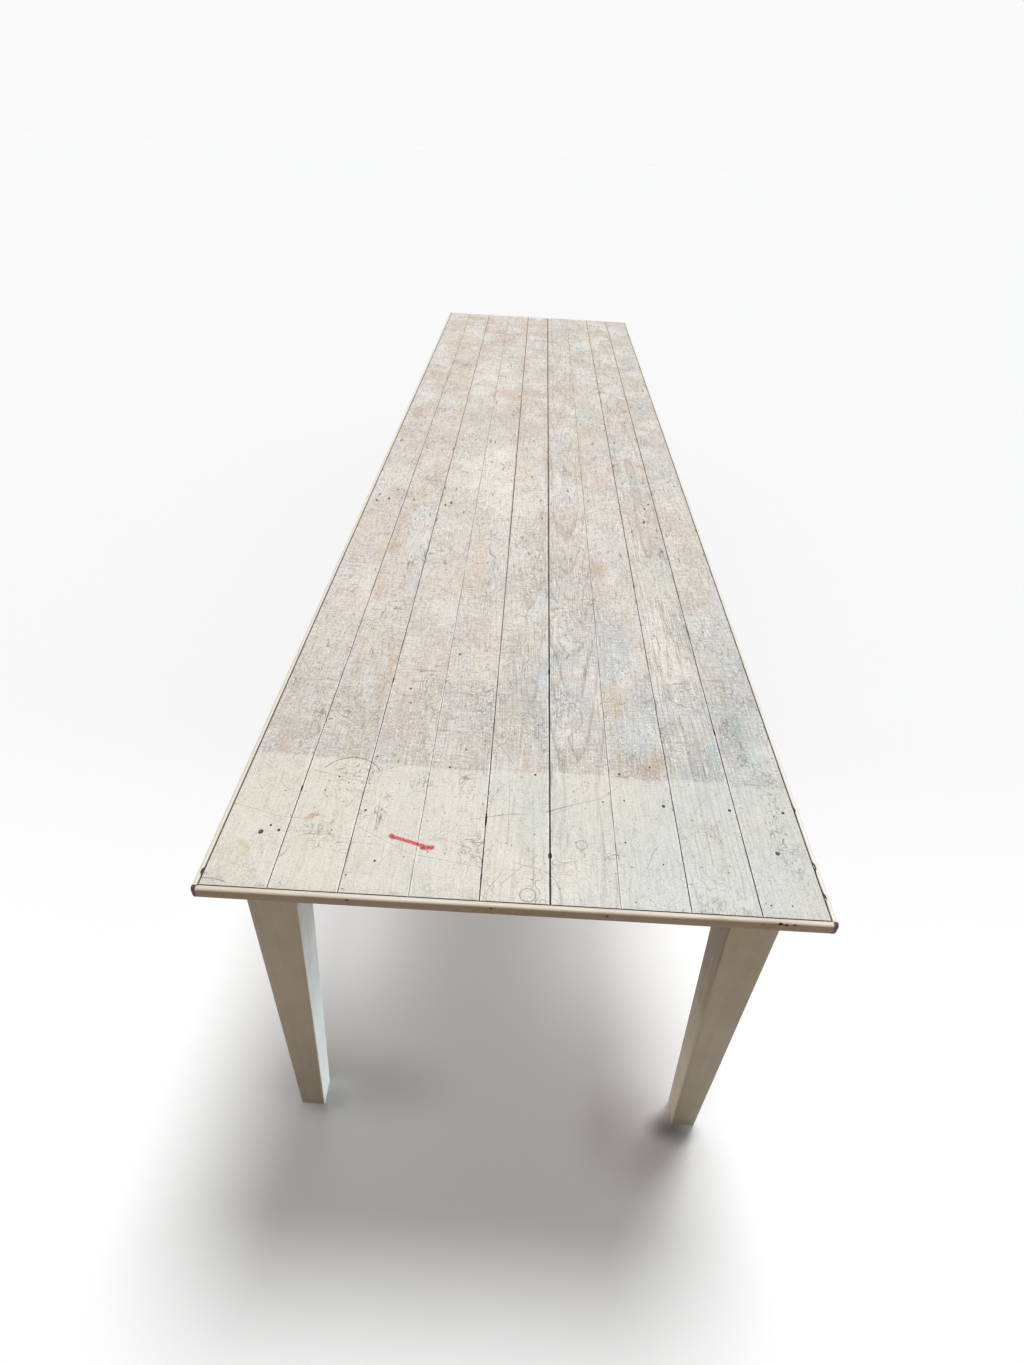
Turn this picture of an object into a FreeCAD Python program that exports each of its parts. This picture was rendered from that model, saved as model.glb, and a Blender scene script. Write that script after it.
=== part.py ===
import FreeCAD, Part
import math
import os

# A long refectory table: nine tongued and grooved boards, lipped all round with a half-round edging,
# nailed down to a pegged frame of four legs, four rails and a row of cross bearers.
# Frame: X across the table, Y along it, Z up. The origin is on the floor under the table's centre.

# Whole table
TABLE_HEIGHT = 760.0
SIDE_OVERHANG = 53.0
END_OVERHANG = 45.0

# Boards of the top
BOARD_COUNT = 9
BOARD_LENGTH = 3602.0
BOARD_FACE = 100.0
EDGE_BOARD_FACE = 97.0
BOARD_THICKNESS = 21.0
BOARD_ARRIS = 0.8
JOINT_GAP = 1.2
TONGUE_LENGTH = 8.0
TONGUE_THICKNESS = 7.0
TONGUE_CLEARANCE = 0.3

# Half-round edging
EDGING_THICKNESS = 20.0
EDGING_PROJECTION = 9.0
EDGING_FLAT = 1.0
EDGING_DROP = 0.5
EDGING_CORNER_RADIUS = 5.0

# Legs, tapered on their two inner faces below a square block
LEG_TOP = 75.0
LEG_FOOT = 46.5
LEG_ARRIS = 1.5
BLOCK_BELOW_RAIL = 12.0
FOOT_CHAMFER = 3.0

# Rails and their haunched tenons
RAIL_DEPTH = 76.0
RAIL_THICKNESS = 30.0
RAIL_SETBACK = 20.0
RAIL_ARRIS = 2.0
TENON_THICKNESS = 12.0
TENON_LOWER_SHOULDER = 8.0
HAUNCH_HEIGHT = 14.0
HAUNCH_LENGTH = 10.0
TENON_SIDE_CLEARANCE = 0.2
TENON_END_CLEARANCE = 1.0

# Cross bearers, stub-tenoned into the long rails
BEARER_COUNT = 5
BEARER_WIDTH = 55.0
BEARER_DEPTH = 40.0
STUB_LENGTH = 14.0
STUB_HEIGHT = 18.0
STUB_SHOULDER = 7.0

# Pegs that lock the leg joints
PEG_SIDES = 8
PEG_DIAMETER = 9.5
PEG_INSET = 17.0
PEG_PITCH = 28.0
PEG_PROUD = 0.8
PEG_RUN_PAST = 8.0
PEG_POINT_LENGTH = 5.0
PEG_POINT_DIAMETER = 6.5

# Cut brads that hold the boards down
NAIL_LENGTH = 50.0
NAIL_HEAD = 5.0
NAIL_POINT = 2.4
NAIL_THICKNESS = 2.6
NAIL_SINK = 1.0
NAIL_SPREAD = 44.0
NAIL_RAIL_SPREAD = 80.0
NAIL_LEG_INSET = 14.0
NAIL_LEG_SPREAD = 20.0

# Panel pins that hold the edging
PIN_LENGTH = 38.0
PIN_THICKNESS = 2.0
PIN_SINK = 0.8
PIN_SPACING = 300.0

# How far a cutting shape runs past the face that it opens
OVERRUN = 1.0

# Places worked out from the sizes above
TOP_WIDTH = 2 * EDGE_BOARD_FACE + (BOARD_COUNT - 2) * BOARD_FACE
HALF_TOP = TOP_WIDTH / 2
HALF_LENGTH = BOARD_LENGTH / 2
BOARD_UNDERSIDE = TABLE_HEIGHT - BOARD_THICKNESS
BOARD_MIDDLE = TABLE_HEIGHT - BOARD_THICKNESS / 2
EDGING_TOP = TABLE_HEIGHT - EDGING_DROP
EDGING_MIDDLE = EDGING_TOP - EDGING_THICKNESS / 2
LEG_OUTER_X = HALF_TOP + EDGING_PROJECTION - SIDE_OVERHANG
LEG_OUTER_Y = HALF_LENGTH + EDGING_PROJECTION - END_OVERHANG
LEG_INNER_X = LEG_OUTER_X - LEG_TOP
LEG_INNER_Y = LEG_OUTER_Y - LEG_TOP
RAIL_INNER_FACE = RAIL_SETBACK + RAIL_THICKNESS
RAIL_MIDDLE = RAIL_SETBACK + RAIL_THICKNESS / 2
RAIL_BOTTOM = BOARD_UNDERSIDE - RAIL_DEPTH
BLOCK_BOTTOM = RAIL_BOTTOM - BLOCK_BELOW_RAIL
TENON_FAR_FACE = RAIL_MIDDLE + TENON_THICKNESS / 2
TENON_LENGTH = LEG_TOP - TENON_FAR_FACE - TENON_END_CLEARANCE
TENON_BOTTOM = RAIL_BOTTOM + TENON_LOWER_SHOULDER
TENON_TOP = BOARD_UNDERSIDE - HAUNCH_HEIGHT
LONG_RAIL_INNER_X = LEG_OUTER_X - RAIL_INNER_FACE
LONG_RAIL_X = LEG_OUTER_X - RAIL_MIDDLE
END_RAIL_Y = LEG_OUTER_Y - RAIL_MIDDLE
BEARER_BOTTOM = BOARD_UNDERSIDE - BEARER_DEPTH
STUB_BOTTOM = BOARD_UNDERSIDE - (BEARER_DEPTH + STUB_HEIGHT) / 2
STUB_WIDTH = BEARER_WIDTH - 2 * STUB_SHOULDER

CORNERS = {
    "front_left": (-1, -1),
    "front_right": (1, -1),
    "back_left": (-1, 1),
    "back_right": (1, 1),
}


def point(x, y, z):
    return FreeCAD.Vector(x, y, z)


def block(x_from, x_to, y_from, y_to, z_from, z_to):
    """A box between two opposite corners, given in any order."""
    low = point(min(x_from, x_to), min(y_from, y_to), min(z_from, z_to))
    return Part.makeBox(abs(x_to - x_from), abs(y_to - y_from), abs(z_to - z_from), low)


def prism(corners, run):
    """A closed outline of points, swept along a straight run."""
    return Part.Face(Part.makePolygon(corners + corners[:1])).extrude(run)


def faceted_solid(rings):
    """A flat-faced solid through outlines with equal numbers of corners, from the first to the last."""
    faces = [Part.Face(Part.makePolygon(ring + ring[:1])) for ring in (rings[0], rings[-1])]
    for lower, upper in zip(rings, rings[1:]):
        for k in range(len(lower)):
            side = [lower[k - 1], lower[k], upper[k], upper[k - 1], lower[k - 1]]
            faces.append(Part.Face(Part.makePolygon(side)))
    solid = Part.Solid(Part.Shell(faces)).removeSplitter()
    if solid.Volume < 0:
        solid.reverse()
    return solid


def near(shape, tool):
    """Whether a cutting shape comes near enough to a piece to touch it."""
    return shape.BoundBox.intersect(tool.BoundBox)


def bored(shape, tools):
    """A piece with every cutting shape that reaches it taken out."""
    reaching = [tool for tool in tools if near(shape, tool)]
    return shape.cut(reaching) if reaching else shape


def board_joints():
    """Where the boards meet across the top, with the top's two outer edges at the ends."""
    first = EDGE_BOARD_FACE - HALF_TOP
    inner = [first + k * BOARD_FACE for k in range(BOARD_COUNT - 1)]
    return [-HALF_TOP] + inner + [HALF_TOP]


def bearer_places():
    """The bearers' middles along the table, evenly spaced between the two end rails."""
    step = 2 * END_RAIL_Y / (BEARER_COUNT + 1)
    return [k * step - END_RAIL_Y for k in range(1, BEARER_COUNT + 1)]


def top_board(index):
    """One board, with a groove in its left edge and a tongue on its right, but plain outer edges."""
    joints = board_joints()
    grooved = index > 0
    tongued = index < BOARD_COUNT - 1
    left = joints[index] + (JOINT_GAP / 2 if grooved else 0)
    right = joints[index + 1] - (JOINT_GAP / 2 if tongued else 0)
    half_tongue = TONGUE_THICKNESS / 2
    half_groove = half_tongue + TONGUE_CLEARANCE
    tongue_tip = right + TONGUE_LENGTH
    groove_bottom = left + TONGUE_LENGTH + TONGUE_CLEARANCE - JOINT_GAP

    outline = [(left, BOARD_UNDERSIDE), (right, BOARD_UNDERSIDE)]
    if tongued:
        outline += [(right, BOARD_MIDDLE - half_tongue), (tongue_tip, BOARD_MIDDLE - half_tongue)]
        outline += [(tongue_tip, BOARD_MIDDLE + half_tongue), (right, BOARD_MIDDLE + half_tongue)]
    outline += [(right, TABLE_HEIGHT - BOARD_ARRIS), (right - BOARD_ARRIS, TABLE_HEIGHT)]
    outline += [(left + BOARD_ARRIS, TABLE_HEIGHT), (left, TABLE_HEIGHT - BOARD_ARRIS)]
    if grooved:
        outline += [(left, BOARD_MIDDLE + half_groove), (groove_bottom, BOARD_MIDDLE + half_groove)]
        outline += [(groove_bottom, BOARD_MIDDLE - half_groove), (left, BOARD_MIDDLE - half_groove)]
    return prism([point(x, -HALF_LENGTH, z) for x, z in outline], point(0, BOARD_LENGTH, 0))


def edging_strip(length):
    """A half-round strip along Y, with its flat back on X zero and its round nose towards +X."""
    bottom = EDGING_TOP - EDGING_THICKNESS
    start = -length / 2
    back_low = point(0, start, bottom)
    turn_low = point(EDGING_FLAT, start, bottom)
    nose = point(EDGING_PROJECTION, start, EDGING_MIDDLE)
    turn_high = point(EDGING_FLAT, start, EDGING_TOP)
    back_high = point(0, start, EDGING_TOP)
    outline = Part.Wire([
        Part.LineSegment(back_low, turn_low).toShape(),
        Part.Arc(turn_low, nose, turn_high).toShape(),
        Part.LineSegment(turn_high, back_high).toShape(),
        Part.LineSegment(back_high, back_low).toShape(),
    ])
    return Part.Face(outline).extrude(point(0, length, 0))


def rounded_plan(length):
    """The plan of an end strip, its two outer corners rounded, as a block taller than the strip."""
    half = length / 2
    radius = EDGING_CORNER_RADIUS
    middle_of_arc = radius * (1 - math.sqrt(0.5))
    low = EDGING_TOP - EDGING_THICKNESS - OVERRUN

    def at(x, y):
        return point(x, y, low)

    near_back, near_turn = at(0, -half), at(EDGING_PROJECTION - radius, -half)
    near_arc = at(EDGING_PROJECTION - middle_of_arc, middle_of_arc - half)
    near_side, far_side = at(EDGING_PROJECTION, radius - half), at(EDGING_PROJECTION, half - radius)
    far_arc = at(EDGING_PROJECTION - middle_of_arc, half - middle_of_arc)
    far_turn, far_back = at(EDGING_PROJECTION - radius, half), at(0, half)
    outline = Part.Wire([
        Part.LineSegment(near_back, near_turn).toShape(),
        Part.Arc(near_turn, near_arc, near_side).toShape(),
        Part.LineSegment(near_side, far_side).toShape(),
        Part.Arc(far_side, far_arc, far_turn).toShape(),
        Part.LineSegment(far_turn, far_back).toShape(),
        Part.LineSegment(far_back, near_back).toShape(),
    ])
    return Part.Face(outline).extrude(point(0, 0, EDGING_THICKNESS + 2 * OVERRUN))


def turned(shape, degrees, x, y):
    """A shape turned about the vertical through the origin, then moved in plan."""
    shape.rotate(point(0, 0, 0), point(0, 0, 1), degrees)
    shape.translate(point(x, y, 0))
    return shape


def side_edging(side):
    """The long strip on one side, between the two end strips."""
    return turned(edging_strip(BOARD_LENGTH), 0 if side > 0 else 180, side * HALF_TOP, 0)


def end_edging(end):
    """The strip across one end, which runs out past the side strips and shows its own end grain."""
    length = TOP_WIDTH + 2 * EDGING_PROJECTION
    strip = edging_strip(length).common(rounded_plan(length))
    return turned(strip, 90 * end, 0, end * HALF_LENGTH)


def in_leg(corner, u, v):
    """The plan place that lies u and v inside the leg's two outer faces."""
    side, end = corner
    return side * (LEG_OUTER_X - u), end * (LEG_OUTER_Y - v)


def leg_section(corner, width, inset, z):
    """A square section of the leg with eased corners, from its outer corner inwards."""
    low, high = inset, width - inset
    ease = LEG_ARRIS
    plan = [
        (low + ease, low), (high - ease, low), (high, low + ease), (high, high - ease),
        (high - ease, high), (low + ease, high), (low, high - ease), (low, low + ease),
    ]
    return [point(*in_leg(corner, u, v), z) for u, v in plan]


def leg_socket(corner, along_table, length, low, high):
    """A slot in a leg's inner face, for part of a long rail's tenon or of an end rail's."""
    half = TENON_THICKNESS / 2 + TENON_SIDE_CLEARANCE
    mouth = LEG_TOP + OVERRUN
    bottom = LEG_TOP - length - TENON_END_CLEARANCE / 2
    if along_table:
        first, second = in_leg(corner, RAIL_MIDDLE - half, bottom), in_leg(corner, RAIL_MIDDLE + half, mouth)
    else:
        first, second = in_leg(corner, bottom, RAIL_MIDDLE - half), in_leg(corner, mouth, RAIL_MIDDLE + half)
    return block(first[0], second[0], first[1], second[1], low, high)


def leg(corner):
    """A leg: a square block at the rails, then straight outer faces and tapered inner ones."""
    body = faceted_solid([
        leg_section(corner, LEG_FOOT, FOOT_CHAMFER, 0),
        leg_section(corner, LEG_FOOT, 0, FOOT_CHAMFER),
        leg_section(corner, LEG_TOP, 0, BLOCK_BOTTOM),
        leg_section(corner, LEG_TOP, 0, BOARD_UNDERSIDE),
    ])
    sockets = []
    for along_table in (True, False):
        sockets.append(leg_socket(corner, along_table, TENON_LENGTH,
                                  TENON_BOTTOM - TENON_SIDE_CLEARANCE, TENON_TOP + TENON_SIDE_CLEARANCE))
        sockets.append(leg_socket(corner, along_table, HAUNCH_LENGTH,
                                  TENON_TOP, BOARD_UNDERSIDE + OVERRUN))
    return body.cut(sockets)


def rail(shoulder_length):
    """A rail along Y between two legs, its lower edges eased, with a haunched tenon on each end."""
    half = RAIL_THICKNESS / 2
    start = -shoulder_length / 2
    outline = [
        point(RAIL_ARRIS - half, start, RAIL_BOTTOM), point(half - RAIL_ARRIS, start, RAIL_BOTTOM),
        point(half, start, RAIL_BOTTOM + RAIL_ARRIS), point(half, start, BOARD_UNDERSIDE),
        point(-half, start, BOARD_UNDERSIDE), point(-half, start, RAIL_BOTTOM + RAIL_ARRIS),
    ]
    body = prism(outline, point(0, shoulder_length, 0))
    half_tenon = TENON_THICKNESS / 2
    tenon_reach = shoulder_length / 2 + TENON_LENGTH
    haunch_reach = shoulder_length / 2 + HAUNCH_LENGTH
    tenons = block(-half_tenon, half_tenon, -tenon_reach, tenon_reach, TENON_BOTTOM, TENON_TOP)
    haunches = block(-half_tenon, half_tenon, -haunch_reach, haunch_reach, TENON_TOP, BOARD_UNDERSIDE)
    return body.fuse([tenons, haunches]).removeSplitter()


def stub_socket(side, place):
    """The socket in a long rail for one end of a bearer."""
    mouth = LONG_RAIL_INNER_X - OVERRUN
    bottom = LONG_RAIL_INNER_X + STUB_LENGTH + TENON_END_CLEARANCE
    half = STUB_WIDTH / 2 + TENON_SIDE_CLEARANCE
    low = STUB_BOTTOM - TENON_SIDE_CLEARANCE
    high = STUB_BOTTOM + STUB_HEIGHT + TENON_SIDE_CLEARANCE
    return block(side * mouth, side * bottom, place - half, place + half, low, high)


def long_rail(side):
    """The rail along one side, with sockets for the bearers."""
    body = turned(rail(2 * LEG_INNER_Y), 0, side * LONG_RAIL_X, 0)
    return body.cut([stub_socket(side, place) for place in bearer_places()])


def end_rail(end):
    """The rail across one end."""
    return turned(rail(2 * LEG_INNER_X), 90, 0, end * END_RAIL_Y)


def bearer(place):
    """A cross bearer under the boards, with a stub tenon on each end."""
    half = BEARER_WIDTH / 2
    body = block(-LONG_RAIL_INNER_X, LONG_RAIL_INNER_X, place - half, place + half,
                 BEARER_BOTTOM, BOARD_UNDERSIDE)
    half_stub = STUB_WIDTH / 2
    reach = LONG_RAIL_INNER_X + STUB_LENGTH
    stubs = block(-reach, reach, place - half_stub, place + half_stub,
                  STUB_BOTTOM, STUB_BOTTOM + STUB_HEIGHT)
    return body.fuse(stubs).removeSplitter()


def peg_ring(centre, direction, diameter):
    """The outline of a whittled peg, square to its length."""
    across = direction.cross(point(0, 0, 1))
    corners = []
    for k in range(PEG_SIDES):
        angle = 2 * math.pi * (k + 0.5) / PEG_SIDES
        shift = across * math.cos(angle) + point(0, 0, math.sin(angle))
        corners.append(centre + shift * (diameter / 2))
    return corners


def peg(start, direction):
    """A peg whittled to flat sides, with a tapered point, driven in from a leg's outer face."""
    length = PEG_PROUD + TENON_FAR_FACE + PEG_RUN_PAST
    taper_start = start + direction * (length - PEG_POINT_LENGTH)
    return faceted_solid([
        peg_ring(start, direction, PEG_DIAMETER),
        peg_ring(taper_start, direction, PEG_DIAMETER),
        peg_ring(start + direction * length, direction, PEG_POINT_DIAMETER),
    ])


def joint_pegs():
    """Two pegs through each tenon, one above the other."""
    pegs = []
    along = LEG_TOP - PEG_INSET
    middle = (TENON_BOTTOM + TENON_TOP) / 2
    for side, end in CORNERS.values():
        for z in (middle - PEG_PITCH / 2, middle + PEG_PITCH / 2):
            long_joint = in_leg((side, end), -PEG_PROUD, along)
            end_joint = in_leg((side, end), along, -PEG_PROUD)
            pegs.append(peg(point(*long_joint, z), point(-side, 0, 0)))
            pegs.append(peg(point(*end_joint, z), point(0, -end, 0)))
    return pegs


def nail_places():
    """Plan places of the brads: two through each board at every bearer and end rail."""
    joints = board_joints()
    middles = [(joints[k] + joints[k + 1]) / 2 for k in range(1, BOARD_COUNT - 1)]
    places = []
    for y in [-END_RAIL_Y] + bearer_places() + [END_RAIL_Y]:
        for x in middles:
            places += [(x - NAIL_SPREAD / 2, y), (x + NAIL_SPREAD / 2, y)]
    for y in bearer_places():
        for side in (-1, 1):
            for shift in (-NAIL_RAIL_SPREAD / 2, NAIL_RAIL_SPREAD / 2):
                places.append((side * LONG_RAIL_X, y + shift))
    for corner in CORNERS.values():
        for v in (NAIL_LEG_INSET, NAIL_LEG_INSET + NAIL_LEG_SPREAD):
            places.append(in_leg(corner, NAIL_LEG_INSET, v))
    return places


def nail(x, y):
    """A cut brad: thin across the board and wedge-shaped along the grain, its head below the face."""
    top = TABLE_HEIGHT - NAIL_SINK
    bottom = top - NAIL_LENGTH
    side = x - NAIL_THICKNESS / 2
    outline = [
        point(side, y - NAIL_HEAD / 2, top), point(side, y + NAIL_HEAD / 2, top),
        point(side, y + NAIL_POINT / 2, bottom), point(side, y - NAIL_POINT / 2, bottom),
    ]
    return prism(outline, point(NAIL_THICKNESS, 0, 0))


def nail_pit(x, y):
    """The small pit that the punch leaves above a brad."""
    half = NAIL_THICKNESS / 2
    return block(x - half, x + half, y - NAIL_HEAD / 2, y + NAIL_HEAD / 2,
                 TABLE_HEIGHT - NAIL_SINK, TABLE_HEIGHT + OVERRUN)


def pin_runs():
    """Where each edging pin starts on the nose of its strip, and the way that it is driven."""
    runs = []
    count = int(BOARD_LENGTH // PIN_SPACING)
    first = -(count - 1) * PIN_SPACING / 2
    joints = board_joints()
    for side in (-1, 1):
        for k in range(count):
            runs.append((side * (HALF_TOP + EDGING_PROJECTION), first + k * PIN_SPACING, -side, 0))
    for end in (-1, 1):
        for k in range(0, BOARD_COUNT, 2):
            middle = (joints[k] + joints[k + 1]) / 2
            runs.append((middle, end * (HALF_LENGTH + EDGING_PROJECTION), 0, -end))
    return runs


def pin(run, start, stop):
    """A square pin along its run, between two depths below the nose of the edging."""
    x, y, along_x, along_y = run
    half = PIN_THICKNESS / 2
    across_x, across_y = half * abs(along_y), half * abs(along_x)
    return block(x + along_x * start - across_x, x + along_x * stop + across_x,
                 y + along_y * start - across_y, y + along_y * stop + across_y,
                 EDGING_MIDDLE - half, EDGING_MIDDLE + half)


def build():
    """Every piece of the table, by name."""
    nails = [nail(x, y) for x, y in nail_places()]
    pits = [nail_pit(x, y) for x, y in nail_places()]
    pins = [pin(run, PIN_SINK, PIN_SINK + PIN_LENGTH) for run in pin_runs()]
    pin_pits = [pin(run, -OVERRUN, PIN_SINK) for run in pin_runs()]
    pegs = joint_pegs()

    pieces = {}
    for index in range(BOARD_COUNT):
        pieces[f"top_board_{index + 1}"] = bored(top_board(index), nails + pits + pins)
    for name, strip in (
        ("edging_left", side_edging(-1)), ("edging_right", side_edging(1)),
        ("edging_front", end_edging(-1)), ("edging_back", end_edging(1)),
    ):
        pieces[name] = bored(strip, pins + pin_pits)
    for name, corner in CORNERS.items():
        pieces[f"leg_{name}"] = bored(leg(corner), pegs + nails)
    for name, member in (
        ("rail_left", long_rail(-1)), ("rail_right", long_rail(1)),
        ("rail_front", end_rail(-1)), ("rail_back", end_rail(1)),
    ):
        pieces[name] = bored(member, pegs + nails)
    for index, place in enumerate(bearer_places()):
        pieces[f"bearer_{index + 1}"] = bored(bearer(place), nails)
    pieces["joint_pegs"] = Part.makeCompound(pegs)
    pieces["board_nails"] = Part.makeCompound(nails)
    pieces["edging_pins"] = Part.makeCompound(pins)
    return pieces


os.makedirs("parts", exist_ok=True)
for piece_name, piece in build().items():
    piece.exportStep(f"parts/{piece_name}.step")
    print(piece_name, len(piece.Solids), "solids", round(piece.Volume), "mm3", "valid", piece.isValid())
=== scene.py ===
"""Dressing of a long refectory table: a boarded pine top, half-round edging and tapered legs in worn paint.

Everything is in metres and in the frame of the solids: X runs across the table, Y along it and Z up from
the floor. The near end of the table is the one at low Y.
"""

from __future__ import annotations

import logging
import math
from dataclasses import dataclass
from enum import Enum
from functools import lru_cache, reduce
from typing import Callable, Optional, Sequence, Union

import bmesh
import bpy
import numpy as np
from mathutils import Matrix, Vector


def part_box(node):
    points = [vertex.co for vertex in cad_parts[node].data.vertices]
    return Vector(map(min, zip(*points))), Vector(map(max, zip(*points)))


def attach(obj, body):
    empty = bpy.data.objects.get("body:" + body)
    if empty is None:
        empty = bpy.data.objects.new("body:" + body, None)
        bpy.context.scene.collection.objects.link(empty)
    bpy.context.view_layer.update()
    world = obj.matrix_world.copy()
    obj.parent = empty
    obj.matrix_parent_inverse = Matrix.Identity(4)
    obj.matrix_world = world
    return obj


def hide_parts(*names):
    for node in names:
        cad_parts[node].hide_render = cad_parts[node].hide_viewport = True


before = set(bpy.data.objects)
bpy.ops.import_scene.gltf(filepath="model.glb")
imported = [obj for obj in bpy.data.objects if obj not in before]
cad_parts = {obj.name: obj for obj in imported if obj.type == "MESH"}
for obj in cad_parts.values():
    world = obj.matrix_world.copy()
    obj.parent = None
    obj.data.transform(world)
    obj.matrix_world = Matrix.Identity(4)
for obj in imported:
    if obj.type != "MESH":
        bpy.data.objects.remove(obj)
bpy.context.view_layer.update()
BODY = "root"
# Places closer than the first are one; above these cosines an edge runs along a line, roughly or exactly.
CLOSE = 1e-5
RUNS = 0.9
STRAIGHT = 0.999
LOG = logging.getLogger("refectory_table")

Socket = bpy.types.NodeSocket
Colour = tuple[float, float, float, float]
Point = tuple[float, float, float]
Feed = Union[Socket, float, Sequence[float]]
Feeds = dict[Union[str, int], Feed]
Test = Callable[[Vector, Vector], bool]


def colour(red: int, green: int, blue: int) -> Colour:
    """Give the linear colour of what a screen shows as red, green and blue from 0 to 255.

    Args:
        red: Share of red.
        green: Share of green.
        blue: Share of blue.

    Returns:
        The colour, with an opacity of 1.
    """
    shares = [value / 255 for value in (red, green, blue)]
    linear = [s / 12.92 if s <= 0.04045 else ((s + 0.055) / 1.055) ** 2.4 for s in shares]
    return (linear[0], linear[1], linear[2], 1.0)


class Part(Enum):
    """Kinds of mesh element that an operator can act on."""

    CORNER = "verts"
    EDGE = "edges"
    FACE = "faces"


class Stain(Enum):
    """Kinds of patch on the top, each painted into a mesh attribute of that name."""

    BARE = "bare"
    OCHRE = "ochre"
    COOL = "cool"
    PALE = "pale"
    NICKS = "nicks"


class Target(Enum):
    """What a lamp falls on."""

    FRAME = "frame"
    FLOOR = "floor"


@dataclass(frozen=True)
class Patch:
    """Soft oval patch: its middle, its reach across and along, and its strength."""

    x: float
    y: float
    across: float
    along: float
    strength: float


@dataclass(frozen=True)
class Board:
    """What sets one board apart: where its pith lies, and how the grain and the paint show."""

    heart: float
    rise: float
    grain: float
    clean_end: float
    warmth: float


@dataclass(frozen=True)
class Joint:
    """Opening between two boards at the near and at the far end of the table."""

    near: float
    far: float


@dataclass(frozen=True)
class Pit:
    """Small hole in the top: its middle, its radius across, and its length as a share of its width."""

    x: float
    y: float
    radius: float
    length: float = 1.15


@dataclass(frozen=True)
class Knot:
    """Knot that the growth rings run round: its place, reach, height, and length as a share of its width."""

    x: float
    y: float
    reach: float
    height: float
    length: float = 1.8


@dataclass(frozen=True)
class Chip:
    """Piece that is out of a surface: its middle, its half lengths and its turn about Z in degrees."""

    middle: Point
    reach: Point
    turn: float = 0.0


@dataclass(frozen=True)
class Splinter:
    """Splinter out of the edges at a joint, counted from 0: its Y, half its length and half its width."""

    joint: int
    y: float
    length: float
    width: float


@dataclass(frozen=True)
class Scratch:
    """Straight scratch or stroke on the top, from one end to the other, with its width and strength."""

    start: tuple[float, float]
    end: tuple[float, float]
    width: float
    strength: float


@dataclass(frozen=True)
class Ring:
    """Round mark on the top: its middle, radius, line width and strength, and the Y from which it shows."""

    x: float
    y: float
    radius: float
    width: float
    strength: float
    from_y: float = -9.0


@dataclass(frozen=True)
class Lamp:
    """Lamp with one target: its power, colour, size, place, and turn in degrees about Y."""

    target: Target
    name: str
    energy: float
    tint: Point
    size: tuple[float, float]
    at: Point
    turn: float


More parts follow.
